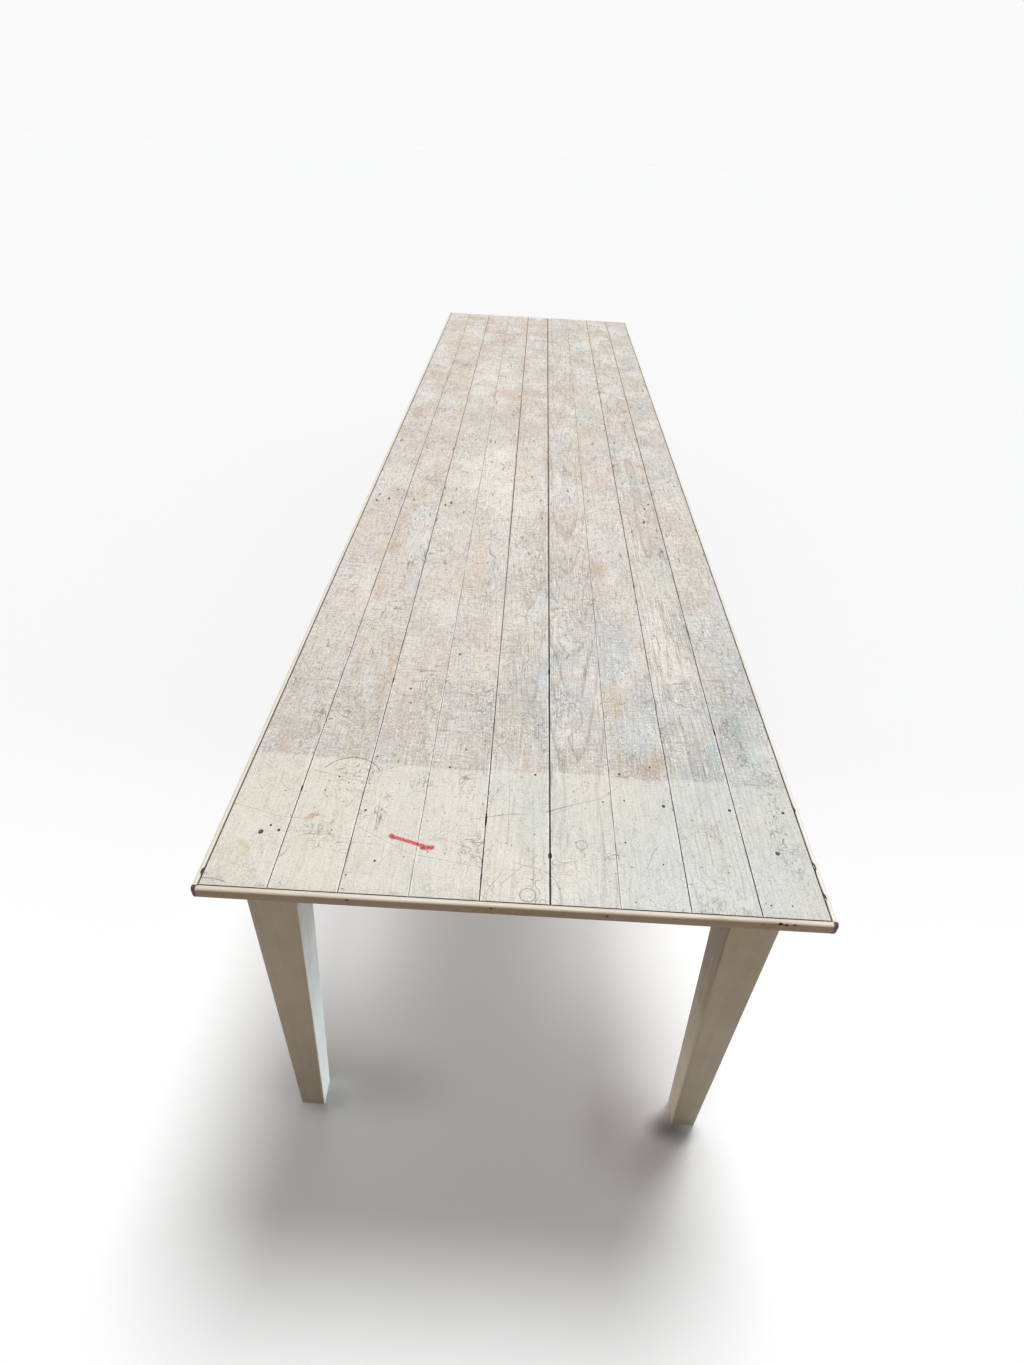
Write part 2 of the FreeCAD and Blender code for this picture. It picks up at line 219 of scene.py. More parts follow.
class Workpiece:
    """One mesh on the bench, shaped with the modelling operators as by hand."""

    def __init__(self, name: str) -> None:
        """Take up the primitive that was just added and put its place into its mesh.

        Args:
            name: Name that it gets.
        """
        self.thing = bpy.context.active_object
        self.thing.name = name
        self.thing.data.name = name
        bpy.ops.object.transform_apply(location=True, rotation=True, scale=True)

    @classmethod
    def block(cls, name: str, low: Vector, high: Vector) -> Workpiece:
        """Start from a cuboid between two corners.

        Args:
            name: Name of the piece.
            low: Its lowest corner.
            high: Its highest corner.

        Returns:
            The new workpiece.
        """
        bpy.ops.object.select_all(action="DESELECT")
        bpy.ops.mesh.primitive_cube_add(size=1.0, location=(low + high) / 2)
        bpy.context.active_object.scale = high - low
        return cls(name)

    @classmethod
    def section(cls, name: str, low: Vector, high: Vector) -> Workpiece:
        """Start from an upright rectangle that faces along the table.

        Args:
            name: Name of the piece.
            low: Its lowest corner.
            high: Its highest corner.

        Returns:
            The new workpiece.
        """
        bpy.ops.object.select_all(action="DESELECT")
        turn = (math.pi / 2, 0.0, 0.0)
        bpy.ops.mesh.primitive_plane_add(size=1.0, location=(low + high) / 2, rotation=turn)
        bpy.context.active_object.scale = (high.x - low.x, high.z - low.z, 1.0)
        return cls(name)

    @classmethod
    def cutter(cls, chip: Chip, seed: int) -> Workpiece:
        """Start from a rough pebble, to cut a chip or a pit with.

        Args:
            chip: Place and size of what it takes out.
            seed: Number that sets its roughness.

        Returns:
            The new workpiece.
        """
        bpy.ops.object.select_all(action="DESELECT")
        turn = (0.0, 0.0, math.radians(chip.turn))
        bpy.ops.mesh.primitive_ico_sphere_add(subdivisions=2, radius=1.0, rotation=turn)
        pebble = bpy.context.active_object
        pebble.scale = chip.reach
        pebble.location = chip.middle
        made = cls("cutter")
        made.pick(Part.CORNER, lambda place, normal: True)
        made.jitter(0.22 * min(chip.reach), seed)
        made.leave()
        return made

    def pick(self, part: Part, test: Test) -> None:
        """Go into edit mode and select what passes a test.

        Args:
            part: Kind of element to select.
            test: Takes an element's middle and its normal, or an edge's direction, and says whether to.
        """
        bpy.context.view_layer.objects.active = self.thing
        if bpy.context.mode != "EDIT_MESH":
            bpy.ops.object.mode_set(mode="EDIT")
        bpy.context.tool_settings.mesh_select_mode = tuple(part is kind for kind in Part)
        bpy.ops.mesh.select_all(action="DESELECT")
        mesh = bmesh.from_edit_mesh(self.thing.data)
        for element in getattr(mesh, part.value):
            if test(*self.whereabouts(element)):
                element.select_set(True)
        mesh.select_flush_mode()
        bmesh.update_edit_mesh(self.thing.data)

    @staticmethod
    def whereabouts(element: Union[bmesh.types.BMVert, bmesh.types.BMEdge, bmesh.types.BMFace]
                    ) -> tuple[Vector, Vector]:
        """Give an element's middle and its normal, or an edge's direction.

        Args:
            element: Corner, edge or face of the mesh.

        Returns:
            The middle and the direction.
        """
        if isinstance(element, bmesh.types.BMVert):
            return element.co, element.normal
        if isinstance(element, bmesh.types.BMEdge):
            first, last = element.verts[0].co, element.verts[1].co
            return (first + last) / 2, (last - first).normalized()
        return element.calc_center_median(), element.normal

    def cut(self, at: Vector, facing: Vector) -> None:
        """Cut the whole mesh with a plane."""
        self.pick(Part.FACE, lambda place, normal: True)
        bpy.ops.mesh.bisect(plane_co=at, plane_no=facing)

    def extrude(self, by: Vector) -> None:
        """Extrude what is selected."""
        bpy.ops.mesh.extrude_region_move(TRANSFORM_OT_translate={"value": by})

    def move(self, by: Vector) -> None:
        """Move what is selected."""
        bpy.ops.transform.translate(value=by)

    def resize(self, by: Vector, about: Vector) -> None:
        """Resize what is selected about a point."""
        bpy.ops.transform.resize(value=by, center_override=about)

    def bevel(self, width: float, steps: int) -> None:
        """Round over the selected edges."""
        bpy.ops.mesh.bevel(offset=width, segments=steps, affect="EDGES")

    def subdivide(self, cuts: int) -> None:
        """Divide the selected edges."""
        bpy.ops.mesh.subdivide(number_cuts=cuts)

    def jitter(self, amount: float, seed: int) -> None:
        """Move the selected corners a little, each its own way."""
        bpy.ops.transform.vertex_random(offset=amount, seed=seed)

    def delete_faces(self) -> None:
        """Delete the selected faces."""
        bpy.ops.mesh.delete(type="FACE")

    def turn_outwards(self) -> None:
        """Make all faces point outwards."""
        self.pick(Part.FACE, lambda place, normal: True)
        bpy.ops.mesh.normals_make_consistent(inside=False)
        self.leave()

    def leave(self) -> None:
        """Go back to object mode."""
        bpy.ops.object.mode_set(mode="OBJECT")

    def hold(self) -> None:
        """Make this the only selected object."""
        bpy.ops.object.select_all(action="DESELECT")
        self.thing.select_set(True)
        bpy.context.view_layer.objects.active = self.thing

    def bite(self, cutters: Sequence[Workpiece]) -> None:
        """Cut away what the cutters cover, and drop the cutters.

        Args:
            cutters: Closed pieces that overlap this one.
        """
        for number, tool in enumerate(cutters):
            step = self.thing.modifiers.new(f"bite_{number}", "BOOLEAN")
            step.operation = "DIFFERENCE"
            step.solver = "EXACT"
            step.object = tool.thing
            self.hold()
            bpy.ops.object.modifier_apply(modifier=step.name)
            bpy.data.objects.remove(tool.thing)

    def corners(self) -> np.ndarray:
        """Give the places of all corners, one in a row.

        Returns:
            The places.
        """
        flat = np.empty(3 * len(self.thing.data.vertices), dtype=np.float32)
        self.thing.data.vertices.foreach_get("co", flat)
        return flat.reshape(-1, 3).astype(float)

    def paint(self, name: str, values: Union[float, np.ndarray]) -> None:
        """Store one value for each corner in an attribute that the finish reads.

        Args:
            name: Name of the attribute.
            values: One value for all corners, or one for each.
        """
        count = len(self.thing.data.vertices)
        layer = self.thing.data.attributes.new(name, "FLOAT", "POINT")
        layer.data.foreach_set("value", np.broadcast_to(values, count).astype(np.float32))

    def hand_over(self, node: str, slot: str, finish: bpy.types.Material, angle: float = 32.0) -> None:
        """Dress the piece and let it stand for a node.

        Args:
            node: Name of the node that it replaces.
            slot: Name of a material slot; not used.
            finish: Material that it gets.
            angle: Angle in degrees up to which its faces are shaded as one surface.
        """
        self.hold()
        bpy.ops.object.shade_smooth_by_angle(angle=math.radians(angle))
        self.thing.data.materials.clear()
        self.thing.data.materials.append(finish)
        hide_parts(node)
        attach(self.thing, BODY)
        LOG.info("%s stands for %s, %d faces", self.thing.name, node, len(self.thing.data.polygons))


class NodeSketch:
    """Draws a node tree, one call for each node."""

    def __init__(self, tree: bpy.types.NodeTree) -> None:
        """Start on an emptied tree."""
        self.tree = tree
        tree.nodes.clear()

    def node(self, kind: str, feeds: Optional[Feeds] = None, **settings: object) -> bpy.types.Node:
        """Add one node.

        Args:
            kind: Type name of the node.
            feeds: What goes into its inputs, by name or number: a socket to link, or a value to set.
            settings: Properties of the node.

        Returns:
            The new node.
        """
        made = self.tree.nodes.new(kind)
        for name, value in settings.items():
            setattr(made, name, value)
        for key, value in (feeds or {}).items():
            if isinstance(value, Socket):
                self.tree.links.new(value, made.inputs[key])
            else:
                made.inputs[key].default_value = value
        return made

    def math(self, operation: str, first: Feed, second: Feed = 0.0) -> Socket:
        """Work out one number from two."""
        return self.node("ShaderNodeMath", {0: first, 1: second}, operation=operation).outputs[0]

    def times(self, *values: Feed) -> Feed:
        """Multiply values."""
        return reduce(lambda so_far, value: self.math("MULTIPLY", so_far, value), values)

    def plus(self, *values: Feed) -> Feed:
        """Add values."""
        return reduce(lambda so_far, value: self.math("ADD", so_far, value), values)

    def minus(self, first: Feed, second: Feed) -> Socket:
        """Subtract one value from another."""
        return self.math("SUBTRACT", first, second)

    def most(self, *values: Feed) -> Feed:
        """Give the largest of some values."""
        return reduce(lambda so_far, value: self.math("MAXIMUM", so_far, value), values)

    def vector(self, operation: str, first: Feed, second: Feed) -> Socket:
        """Work out one vector from two."""
        return self.node("ShaderNodeVectorMath", {0: first, 1: second}, operation=operation).outputs["Vector"]

    def measure(self, operation: str, first: Feed, second: Feed = (0.0, 0.0, 0.0)) -> Socket:
        """Work out one number from one or two vectors."""
        return self.node("ShaderNodeVectorMath", {0: first, 1: second}, operation=operation).outputs["Value"]

    def oval(self, place: Feed, x: float, y: float, across: float, along: float) -> Socket:
        """Give how far off a place is from the middle of an oval: 1 on its rim."""
        away = self.vector("SUBTRACT", place, (x, y, 0.0))
        return self.measure("LENGTH", self.vector("MULTIPLY", away, (1.0 / across, 1.0 / along, 0.0)))

    def ramp(self, value: Feed, low: Feed, high: Feed) -> Socket:
        """Rise smoothly from 0 at a low value to 1 at a high one."""
        feeds = {"Value": value, "From Min": low, "From Max": high}
        return self.node("ShaderNodeMapRange", feeds, interpolation_type="SMOOTHSTEP").outputs["Result"]

    def spread(self, value: Feed, low: float, high: float) -> Socket:
        """Carry 0 to 1 over to a range of its own."""
        feeds = {"Value": value, "To Min": low, "To Max": high}
        return self.node("ShaderNodeMapRange", feeds).outputs["Result"]

    def blend(self, mask: Feed, under: Feed, over: Feed, mode: str = "MIX") -> Socket:
        """Lay one colour over another by a mask."""
        feeds = {0: mask, 6: under, 7: over}
        return self.node("ShaderNodeMix", feeds, data_type="RGBA", blend_type=mode).outputs[2]

    def dimmed(self, mask: Feed, base: Feed, by: Colour) -> Socket:
        """Multiply a colour by another where a mask says so."""
        return self.blend(mask, base, self.blend(1.0, base, by, "MULTIPLY"))

    def noise(self, place: Feed, scale: float, detail: float = 2.0, rough: float = 0.5) -> Socket:
        """Give a cloudy value from 0 to 1."""
        feeds = {"Vector": place, "Scale": scale, "Detail": detail, "Roughness": rough}
        return self.node("ShaderNodeTexNoise", feeds).outputs["Fac"]

    def cloud(self, place: Feed, across: float, along: float, detail: float = 2.0, rough: float = 0.5
              ) -> Socket:
        """Give a cloudy value from 0 to 1, with so many clouds to a metre across the table and along it."""
        return self.noise(self.vector("MULTIPLY", place, (across, along, across)), 1.0, detail, rough)

    def weather(self, base: Feed, value: Feed, dark: Feed, light: Feed, share: Feed) -> Socket:
        """Darken a colour where a cloudy value is high and lighten it where it is low.

        Args:
            base: Colour to start from.
            value: The cloudy value.
            dark: Colour of the dark places.
            light: Colour of the light places.
            share: How much of those colours shows.

        Returns:
            The weathered colour.
        """
        base = self.blend(self.times(self.ramp(value, 0.52, 0.64), share), base, dark)
        return self.blend(self.times(self.ramp(value, 0.48, 0.36), share), base, light)

    def painted(self, name: str) -> Socket:
        """Read a value that was painted into the mesh."""
        return self.node("ShaderNodeAttribute", attribute_name=name).outputs["Fac"]

    def place(self) -> Socket:
        """Give the place on the object."""
        return self.node("ShaderNodeTexCoord").outputs["Object"]

    def split(self, place: Feed) -> tuple[Socket, ...]:
        """Take a vector apart into X, Y and Z."""
        return tuple(self.node("ShaderNodeSeparateXYZ", {0: place}).outputs)

    def joined(self, x: Feed, y: Feed, z: Feed) -> Socket:
        """Put X, Y and Z together into a vector."""
        return self.node("ShaderNodeCombineXYZ", {0: x, 1: y, 2: z}).outputs[0]

    def effect(self, group: bpy.types.NodeTree, feeds: Feeds) -> bpy.types.Node:
        """Place a shared effect with its own values."""
        return self.node("ShaderNodeGroup", feeds, node_tree=group)

    def direct(self) -> Feed:
        """Tell what is seen directly, in a reflection or through glass from what only sheds light."""
        path = self.node("ShaderNodeLightPath").outputs
        return self.most(path["Is Camera Ray"], path["Is Glossy Ray"], path["Is Transmission Ray"])


class Effects:
    """Effects that more than one finish uses, each a node group that is built once."""

    @staticmethod
    def start(name: str, values: Sequence[str], vectors: Sequence[str], outputs: Sequence[str]
              ) -> tuple[NodeSketch, bpy.types.NodeTree, bpy.types.NodeOutputs]:
        """Start a node group.

        Args:
            name: Name of the group.
            values: Names of the inputs that are values.
            vectors: Names of the inputs that are vectors.
            outputs: Names of the outputs, all of them values.

        Returns:
            The sketch to draw on, the group and what is given to it.
        """
        group = bpy.data.node_groups.new(name, "ShaderNodeTree")
        for key in vectors:
            group.interface.new_socket(key, in_out="INPUT", socket_type="NodeSocketVector")
        for key in values:
            group.interface.new_socket(key, in_out="INPUT", socket_type="NodeSocketFloat")
        for key in outputs:
            group.interface.new_socket(key, in_out="OUTPUT", socket_type="NodeSocketFloat")
        sketch = NodeSketch(group)
        return sketch, group, sketch.node("NodeGroupInput").outputs

    @classmethod
    @lru_cache(maxsize=None)
    def pine_grain(cls) -> bpy.types.NodeTree:
        """Growth rings cut lengthwise: X and Z are measured from the pith, Y along the board.

        Returns:
            The group.
        """
        sketch, group, given = cls.start("pine_grain", ("Seed", "Rings"), ("Vector",), ("Lines", "Fibre"))
        place = given["Vector"]
        offset = sketch.joined(*(sketch.times(given["Seed"], share) for share in (0.71, 2.3, 1.3)))
        own = sketch.vector("ADD", place, offset)
        feeds = {"Vector": sketch.vector("MULTIPLY", own, (7.0, 1.6, 7.0)), "Scale": 1.0, "Detail": 2.0}
        sway = sketch.node("ShaderNodeTexNoise", feeds).outputs["Color"]
        centred = sketch.vector("SUBTRACT", sway, (0.5, 0.5, 0.5))
        bent = sketch.vector("ADD", place, sketch.vector("MULTIPLY", centred, (0.034, 0.0, 0.034)))
        radius = sketch.measure("LENGTH", sketch.vector("MULTIPLY", bent, (1.0, 0.0, 1.0)))
        uneven = sketch.times(sketch.noise(radius, 60.0, 1.0), 0.008)
        phase = sketch.math("FRACT", sketch.times(sketch.plus(radius, uneven), given["Rings"]))
        fibre = sketch.cloud(own, 330.0, 7.0, 3.0, 0.6)
        lines = sketch.times(sketch.ramp(phase, 0.62, 0.93), sketch.ramp(phase, 1.0, 0.93),
                             sketch.ramp(fibre, 0.30, 0.62))
        sketch.node("NodeGroupOutput", {"Lines": lines, "Fibre": fibre})
        return group

    @classmethod
    @lru_cache(maxsize=None)
    def specks(cls, flat: bool = False) -> bpy.types.NodeTree:
        """Scattered small dark specks: a share of the cells holds one, each of its own size.

        Args:
            flat: Whether they lie on a level surface, so that only X and Y count.

        Returns:
            The group.
        """
        name = "flat_specks" if flat else "specks"
        sketch, group, given = cls.start(name, ("Cells", "Share", "Size"), ("Vector",), ("Mask",))
        feeds = {"Vector": given["Vector"], "Scale": 420.0, "Detail": 1.0}
        wobble = sketch.node("ShaderNodeTexNoise", feeds).outputs["Color"]
        wobble = sketch.vector("MULTIPLY", wobble, (0.0022, 0.0022, 0.0022))
        bent = sketch.vector("ADD", given["Vector"], wobble)
        cells = sketch.node("ShaderNodeTexVoronoi", {"Vector": bent, "Scale": given["Cells"]},
                            voronoi_dimensions="2D" if flat else "3D")
        chance = sketch.split(cells.outputs["Color"])
        held = sketch.math("LESS_THAN", chance[0], given["Share"])
        reach = sketch.times(given["Size"], sketch.spread(chance[1], 0.35, 1.0))
        core = sketch.ramp(cells.outputs["Distance"], reach, sketch.times(reach, 0.6))
        sketch.node("NodeGroupOutput", {"Mask": sketch.times(held, core)})
        return group

    @classmethod
    @lru_cache(maxsize=None)
    def hairlines(cls) -> bpy.types.NodeTree:
        """Long fine scratches that wander over the surface and break off.

        Returns:
            The group.
        """
        sketch, group, given = cls.start("hairlines", ("Scale", "Width"), ("Vector",), ("Mask",))
        feeds = {"Vector": given["Vector"], "Scale": given["Scale"], "Detail": 0.6}
        drift = sketch.node("ShaderNodeTexNoise", feeds).outputs["Fac"]
        thin = sketch.ramp(sketch.math("ABSOLUTE", sketch.minus(drift, 0.5)), given["Width"], 0.0)
        breaks = sketch.ramp(sketch.noise(given["Vector"], 11.0, 2.0), 0.46, 0.56)
        sketch.node("NodeGroupOutput", {"Mask": sketch.times(thin, breaks)})
        return group

    @classmethod
    @lru_cache(maxsize=None)
    def stroke(cls) -> bpy.types.NodeTree:
        """Straight stroke between two points.

        Returns:
            The group.
        """
        sketch, group, given = cls.start("stroke", ("Width",), ("Vector", "Start", "End"), ("Mask",))
        away = sketch.vector("SUBTRACT", given["Vector"], given["Start"])
        run = sketch.vector("SUBTRACT", given["End"], given["Start"])
        reached = sketch.math("DIVIDE", sketch.measure("DOT_PRODUCT", away, run),
                              sketch.measure("DOT_PRODUCT", run, run))
        share = sketch.node("ShaderNodeClamp", {0: reached}).outputs[0]
        foot = sketch.node("ShaderNodeVectorMath", {0: run, "Scale": share}, operation="SCALE")
        gap = sketch.measure("DISTANCE", away, foot.outputs["Vector"])
        mask = sketch.ramp(gap, given["Width"], sketch.times(given["Width"], 0.35))
        sketch.node("NodeGroupOutput", {"Mask": mask})
        return group

    @classmethod
    @lru_cache(maxsize=None)
    def ring(cls) -> bpy.types.NodeTree:
        """Round line about a point.

        Returns:
            The group.
        """
        sketch, group, given = cls.start("ring", ("Radius", "Width"), ("Vector", "Middle"), ("Mask",))
        away = sketch.measure("DISTANCE", given["Vector"], given["Middle"])
        gap = sketch.math("ABSOLUTE", sketch.minus(away, given["Radius"]))
        mask = sketch.ramp(gap, given["Width"], sketch.times(given["Width"], 0.3))
        sketch.node("NodeGroupOutput", {"Mask": mask})
        return group


class Finish:
    """A material in the making, with what every finish here needs."""

    def __init__(self, name: str) -> None:
        """Start an empty material.

        Args:
            name: Name of the material.
        """
        self.material = bpy.data.materials.new(name)
        self.material.use_nodes = True
        self.sketch = NodeSketch(self.material.node_tree)

    def close(self, base: Feed, roughness: Feed, height: Feed, depth: float, metallic: Feed = 0.0
              ) -> bpy.types.Material:
        """Join colour, roughness and relief in one shader.

        Args:
            base: Colour of the surface.
            roughness: Its roughness.
            height: Relief from 0 to 1.
            depth: Depth of that relief in metres.
            metallic: How far it is metal.

        Returns:
            The finished material.
        """
        feeds = {"Height": height, "Distance": depth, "Strength": 0.6}
        normal = self.sketch.node("ShaderNodeBump", feeds).outputs["Normal"]
        feeds = {"Base Color": base, "Roughness": roughness, "Metallic": metallic, "Normal": normal}
        shader = self.sketch.node("ShaderNodeBsdfPrincipled", feeds)
        self.sketch.node("ShaderNodeOutputMaterial", {"Surface": shader.outputs["BSDF"]})
        return self.material


class TopFields:
    """Places and cloudy values on the boards that the layers of their paint share."""

    def __init__(self, sketch: NodeSketch, knots: Sequence[Knot]) -> None:
        """Work the values out in a tree, with the growth rings bent round knots.

        Args:
            sketch: Tree to draw in.
            knots: Knots in the boards.
        """
        self.sketch = sketch
        self.place = sketch.place()
        self.x, self.y, z = sketch.split(self.place)
        seed = sketch.painted("seed")
        offset = sketch.joined(*(sketch.times(seed, share) for share in (0.61, 3.3, 1.7)))
        self.own = sketch.vector("ADD", self.place, offset)
        self.flat = sketch.vector("MULTIPLY", self.place, (1.0, 1.0, 0.0))
        self.beyond = sketch.ramp(self.y, -1.55, -0.45)
        self.far = sketch.ramp(self.y, -1.2, 0.9)

        depth = sketch.plus(sketch.times(self.y, sketch.painted("rise")), 0.062)
        self.swirl: Feed = 0.0
        for knot in knots:
            gap = sketch.oval(self.flat, knot.x, knot.y, knot.reach, knot.reach * knot.length)
            gap = sketch.plus(gap, sketch.times(sketch.noise(self.flat, 90.0, 2.0), 0.35))
            depth = sketch.plus(depth, sketch.times(sketch.ramp(gap, 1.2, 0.0), knot.height))
            self.swirl = sketch.most(self.swirl, sketch.ramp(gap, 1.2, 0.6))
        from_heart = sketch.minus(self.x, sketch.painted("heart"))
        cut = sketch.joined(from_heart, self.y, sketch.plus(sketch.minus(z, 0.76), depth))
        feeds = {"Vector": cut, "Seed": seed, "Rings": sketch.spread(self.beyond, 140.0, 85.0)}
        grain = sketch.effect(Effects.pine_grain(), feeds)
        self.lines, self.fibre = grain.outputs["Lines"], grain.outputs["Fibre"]

        tone = sketch.cloud(self.own, 9.0, 4.0, 3.0)
        self.soft = sketch.cloud(self.own, 24.0, 11.0, 5.0, 0.62)
        self.flake = sketch.cloud(self.own, 110.0, 44.0, 6.0, 0.74)
        self.grit = sketch.cloud(self.own, 520.0, 380.0, 2.0, 0.6)

        ragged = sketch.times(sketch.minus(sketch.noise(self.own, 70.0, 3.0), 0.5), 0.010)
        clean_end = sketch.plus(sketch.painted("clean_end"), ragged)
        self.clean = sketch.ramp(self.y, sketch.plus(clean_end, 0.004), sketch.minus(clean_end, 0.004))
        self.used = sketch.minus(1.0, self.clean)

        drift = sketch.spread(sketch.cloud(self.place, 6.0, 2.8, 4.0), 0.15, 0.85)
        drift = sketch.minus(drift, sketch.times(self.x, 0.62))
        lean = sketch.times(sketch.painted("warmth"), self.used, 0.10)
        self.warm = sketch.ramp(sketch.plus(drift, lean), 0.34, 0.66)

        field = sketch.plus(self.soft, sketch.times(sketch.minus(tone, 0.5), 0.35),
                            sketch.times(sketch.painted("bare"), 0.17))
        field = sketch.minus(field, sketch.times(self.clean, 0.12))
        field = sketch.minus(field, sketch.times(sketch.painted("pale"), 0.12))
        self.worn = sketch.ramp(field, 0.48, 0.70)
        crowd = sketch.ramp(sketch.cloud(self.place, 14.0, 9.0, 3.0), 0.46, 0.68)
        self.crowd = sketch.most(crowd, sketch.painted("nicks"))

    def cloud(self, number: float, across: float, along: float, detail: float = 5.0, rough: float = 0.64,
              shared: bool = False) -> Socket:
        """Give one more cloudy value, set apart from the others by a number.

        Args:
            number: The number.
            across: Clouds to a metre across the table.
            along: Clouds to a metre along the table.
            detail: How many finer clouds lie in them.
            rough: How strong those are.
            shared: Whether the clouds run over the joints, and are not each board's own.

        Returns:
            The value.
        """
        start = self.place if shared else self.own
        moved = self.sketch.vector("ADD", start, (1.7 * number, 2.9 * number, 0.0))
        return self.sketch.cloud(moved, across, along, detail, rough)


@dataclass(frozen=True)
class TopPaint:
    """Finish of the boards: thin worn paint, cleaner at the near end, with the marks of long use."""

    cream: Colour = colour(226, 222, 208)
    cool_cream: Colour = colour(212, 214, 208)
    warm_grey: Colour = colour(220, 216, 207)
    cool_grey: Colour = colour(190, 199, 200)
    residue: Colour = colour(236, 234, 228)
    chalk: Colour = colour(250, 248, 243)
    bright: Colour = colour(248, 243, 230)
    worn: Colour = colour(186, 172, 155)
    worn_deep: Colour = colour(170, 154, 136)
    soiled: Colour = colour(178, 166, 156)
    rosy: Colour = colour(216, 196, 193)
    sallow: Colour = colour(214, 207, 172)
    icy: Colour = colour(216, 225, 228)
    ochre: Colour = colour(196, 156, 114)
    tan: Colour = colour(215, 185, 148)
    buff: Colour = colour(204, 186, 171)
    cool: Colour = colour(162, 200, 203)
    fleck: Colour = colour(134, 123, 112)
    joint_stain: Colour = colour(122, 98, 76)
    bruise: Colour = colour(80, 66, 58)
    dark: Colour = colour(44, 34, 28)
    pencil: Colour = colour(104, 99, 95)
    red: Colour = colour(206, 44, 50)
    red_dark: Colour = colour(140, 30, 36)
    pine: Colour = colour(196, 160, 112)
    pine_dark: Colour = colour(160, 118, 74)
    relief_depth: float = 0.0006
    knots: tuple[Knot, ...] = (
        Knot(0.085, -1.062, 0.04, 0.03, 2.2), Knot(0.084, -1.386, 0.034, 0.026),
        Knot(0.306, -1.304, 0.04, 0.03), Knot(0.298, -1.784, 0.05, 0.034, 1.4),
        Knot(0.113, 0.043, 0.04, 0.036, 7.0), Knot(-0.004, -0.324, 0.04, 0.03, 3.0),
        Knot(-0.029, -1.449, 0.024, 0.02), Knot(-0.18, -1.31, 0.03, 0.022),
    )
    scratches: tuple[Scratch, ...] = (
        Scratch((-0.445, -1.645), (-0.372, -1.666), 0.0008, 0.5),
        Scratch((-0.372, -1.666), (-0.33, -1.669), 0.0008, 0.5),
        Scratch((-0.245, -1.679), (-0.158, -1.725), 0.0007, 0.45),
        Scratch((-0.158, -1.725), (-0.051, -1.743), 0.0008, 0.5),
        Scratch((-0.051, -1.743), (0.09, -1.748), 0.0007, 0.4),
        Scratch((-0.34, -1.563), (-0.25, -1.584), 0.0009, 0.6),
        Scratch((-0.045, -1.462), (-0.012, -1.52), 0.0009, 0.6),
        Scratch((-0.022, -1.772), (0.01, -1.735), 0.0009, 0.5),
        Scratch((-0.016, -1.56), (-0.014, -1.7), 0.0007, 0.5),
        Scratch((-0.133, -1.698), (-0.106, -1.666), 0.0007, 0.5),
        Scratch((-0.134, -1.692), (-0.112, -1.656), 0.0006, 0.4),
        Scratch((-0.126, -1.698), (-0.097, -1.672), 0.0006, 0.4),
        Scratch((-0.392, -1.668), (-0.337, -1.69), 0.0006, 0.4),
        Scratch((-0.345, -1.668), (-0.352, -1.702), 0.0006, 0.4),
        Scratch((-0.415, -1.76), (-0.372, -1.772), 0.0007, 0.4),
        Scratch((-0.046, -1.762), (-0.028, -1.79), 0.0008, 0.5),
        Scratch((-0.044, -1.79), (-0.022, -1.752), 0.0008, 0.5),
        Scratch((0.255, -1.668), (0.292, -1.64), 0.0007, 0.4),
        Scratch((0.23, -1.735), (0.251, -1.752), 0.0007, 0.4),
    )
    rings: tuple[Ring, ...] = (
        Ring(-0.2785, -1.5790, 0.0510, 0.0014, 1.0, -1.556), Ring(0.018, -1.787, 0.0115, 0.0012, 0.8),
        Ring(0.0985, -1.6895, 0.0085, 0.0012, 0.7),
    )
    pale_rings: tuple[Ring, ...] = (Ring(0.007, -0.761, 0.0150, 0.0050, 0.8),)
    sallow_rings: tuple[Ring, ...] = (
        Ring(-0.418, -1.736, 0.0160, 0.0090, 0.85), Ring(-0.402, -1.790, 0.0300, 0.0050, 0.30, -1.775),
    )
    ochre_spots: tuple[Scratch, ...] = (
        Scratch((-0.327, -1.668), (-0.311, -1.659), 0.0045, 0.8),
        Scratch((-0.324, -1.662), (-0.318, -1.658), 0.004, 0.8),
        Scratch((-0.216, -1.616), (-0.206, -1.611), 0.0035, 0.75),
        Scratch((-0.209, -1.61), (-0.214, -1.606), 0.0025, 0.7),
        Scratch((-0.366, -1.796), (-0.357, -1.796), 0.004, 0.7),
        Scratch((-0.175, -1.797), (-0.167, -1.797), 0.0035, 0.6),
        Scratch((0.262, -1.667), (0.259, -1.66), 0.0025, 0.7),
        Scratch((0.427, -1.718), (0.431, -1.714), 0.003, 0.5),
    )
    red_stroke: tuple[Scratch, ...] = (
        Scratch((-0.191, -1.694), (-0.129, -1.7125), 0.0048, 1.0),
        Scratch((-0.192, -1.693), (-0.188, -1.696), 0.0062, 1.0),
        Scratch((-0.140, -1.713), (-0.128, -1.711), 0.0062, 1.0),
    )
    red_ends: tuple[Scratch, ...] = (
        Scratch((-0.190, -1.694), (-0.187, -1.695), 0.0040, 0.8),
        Scratch((-0.143, -1.713), (-0.129, -1.711), 0.0036, 0.9),
    )

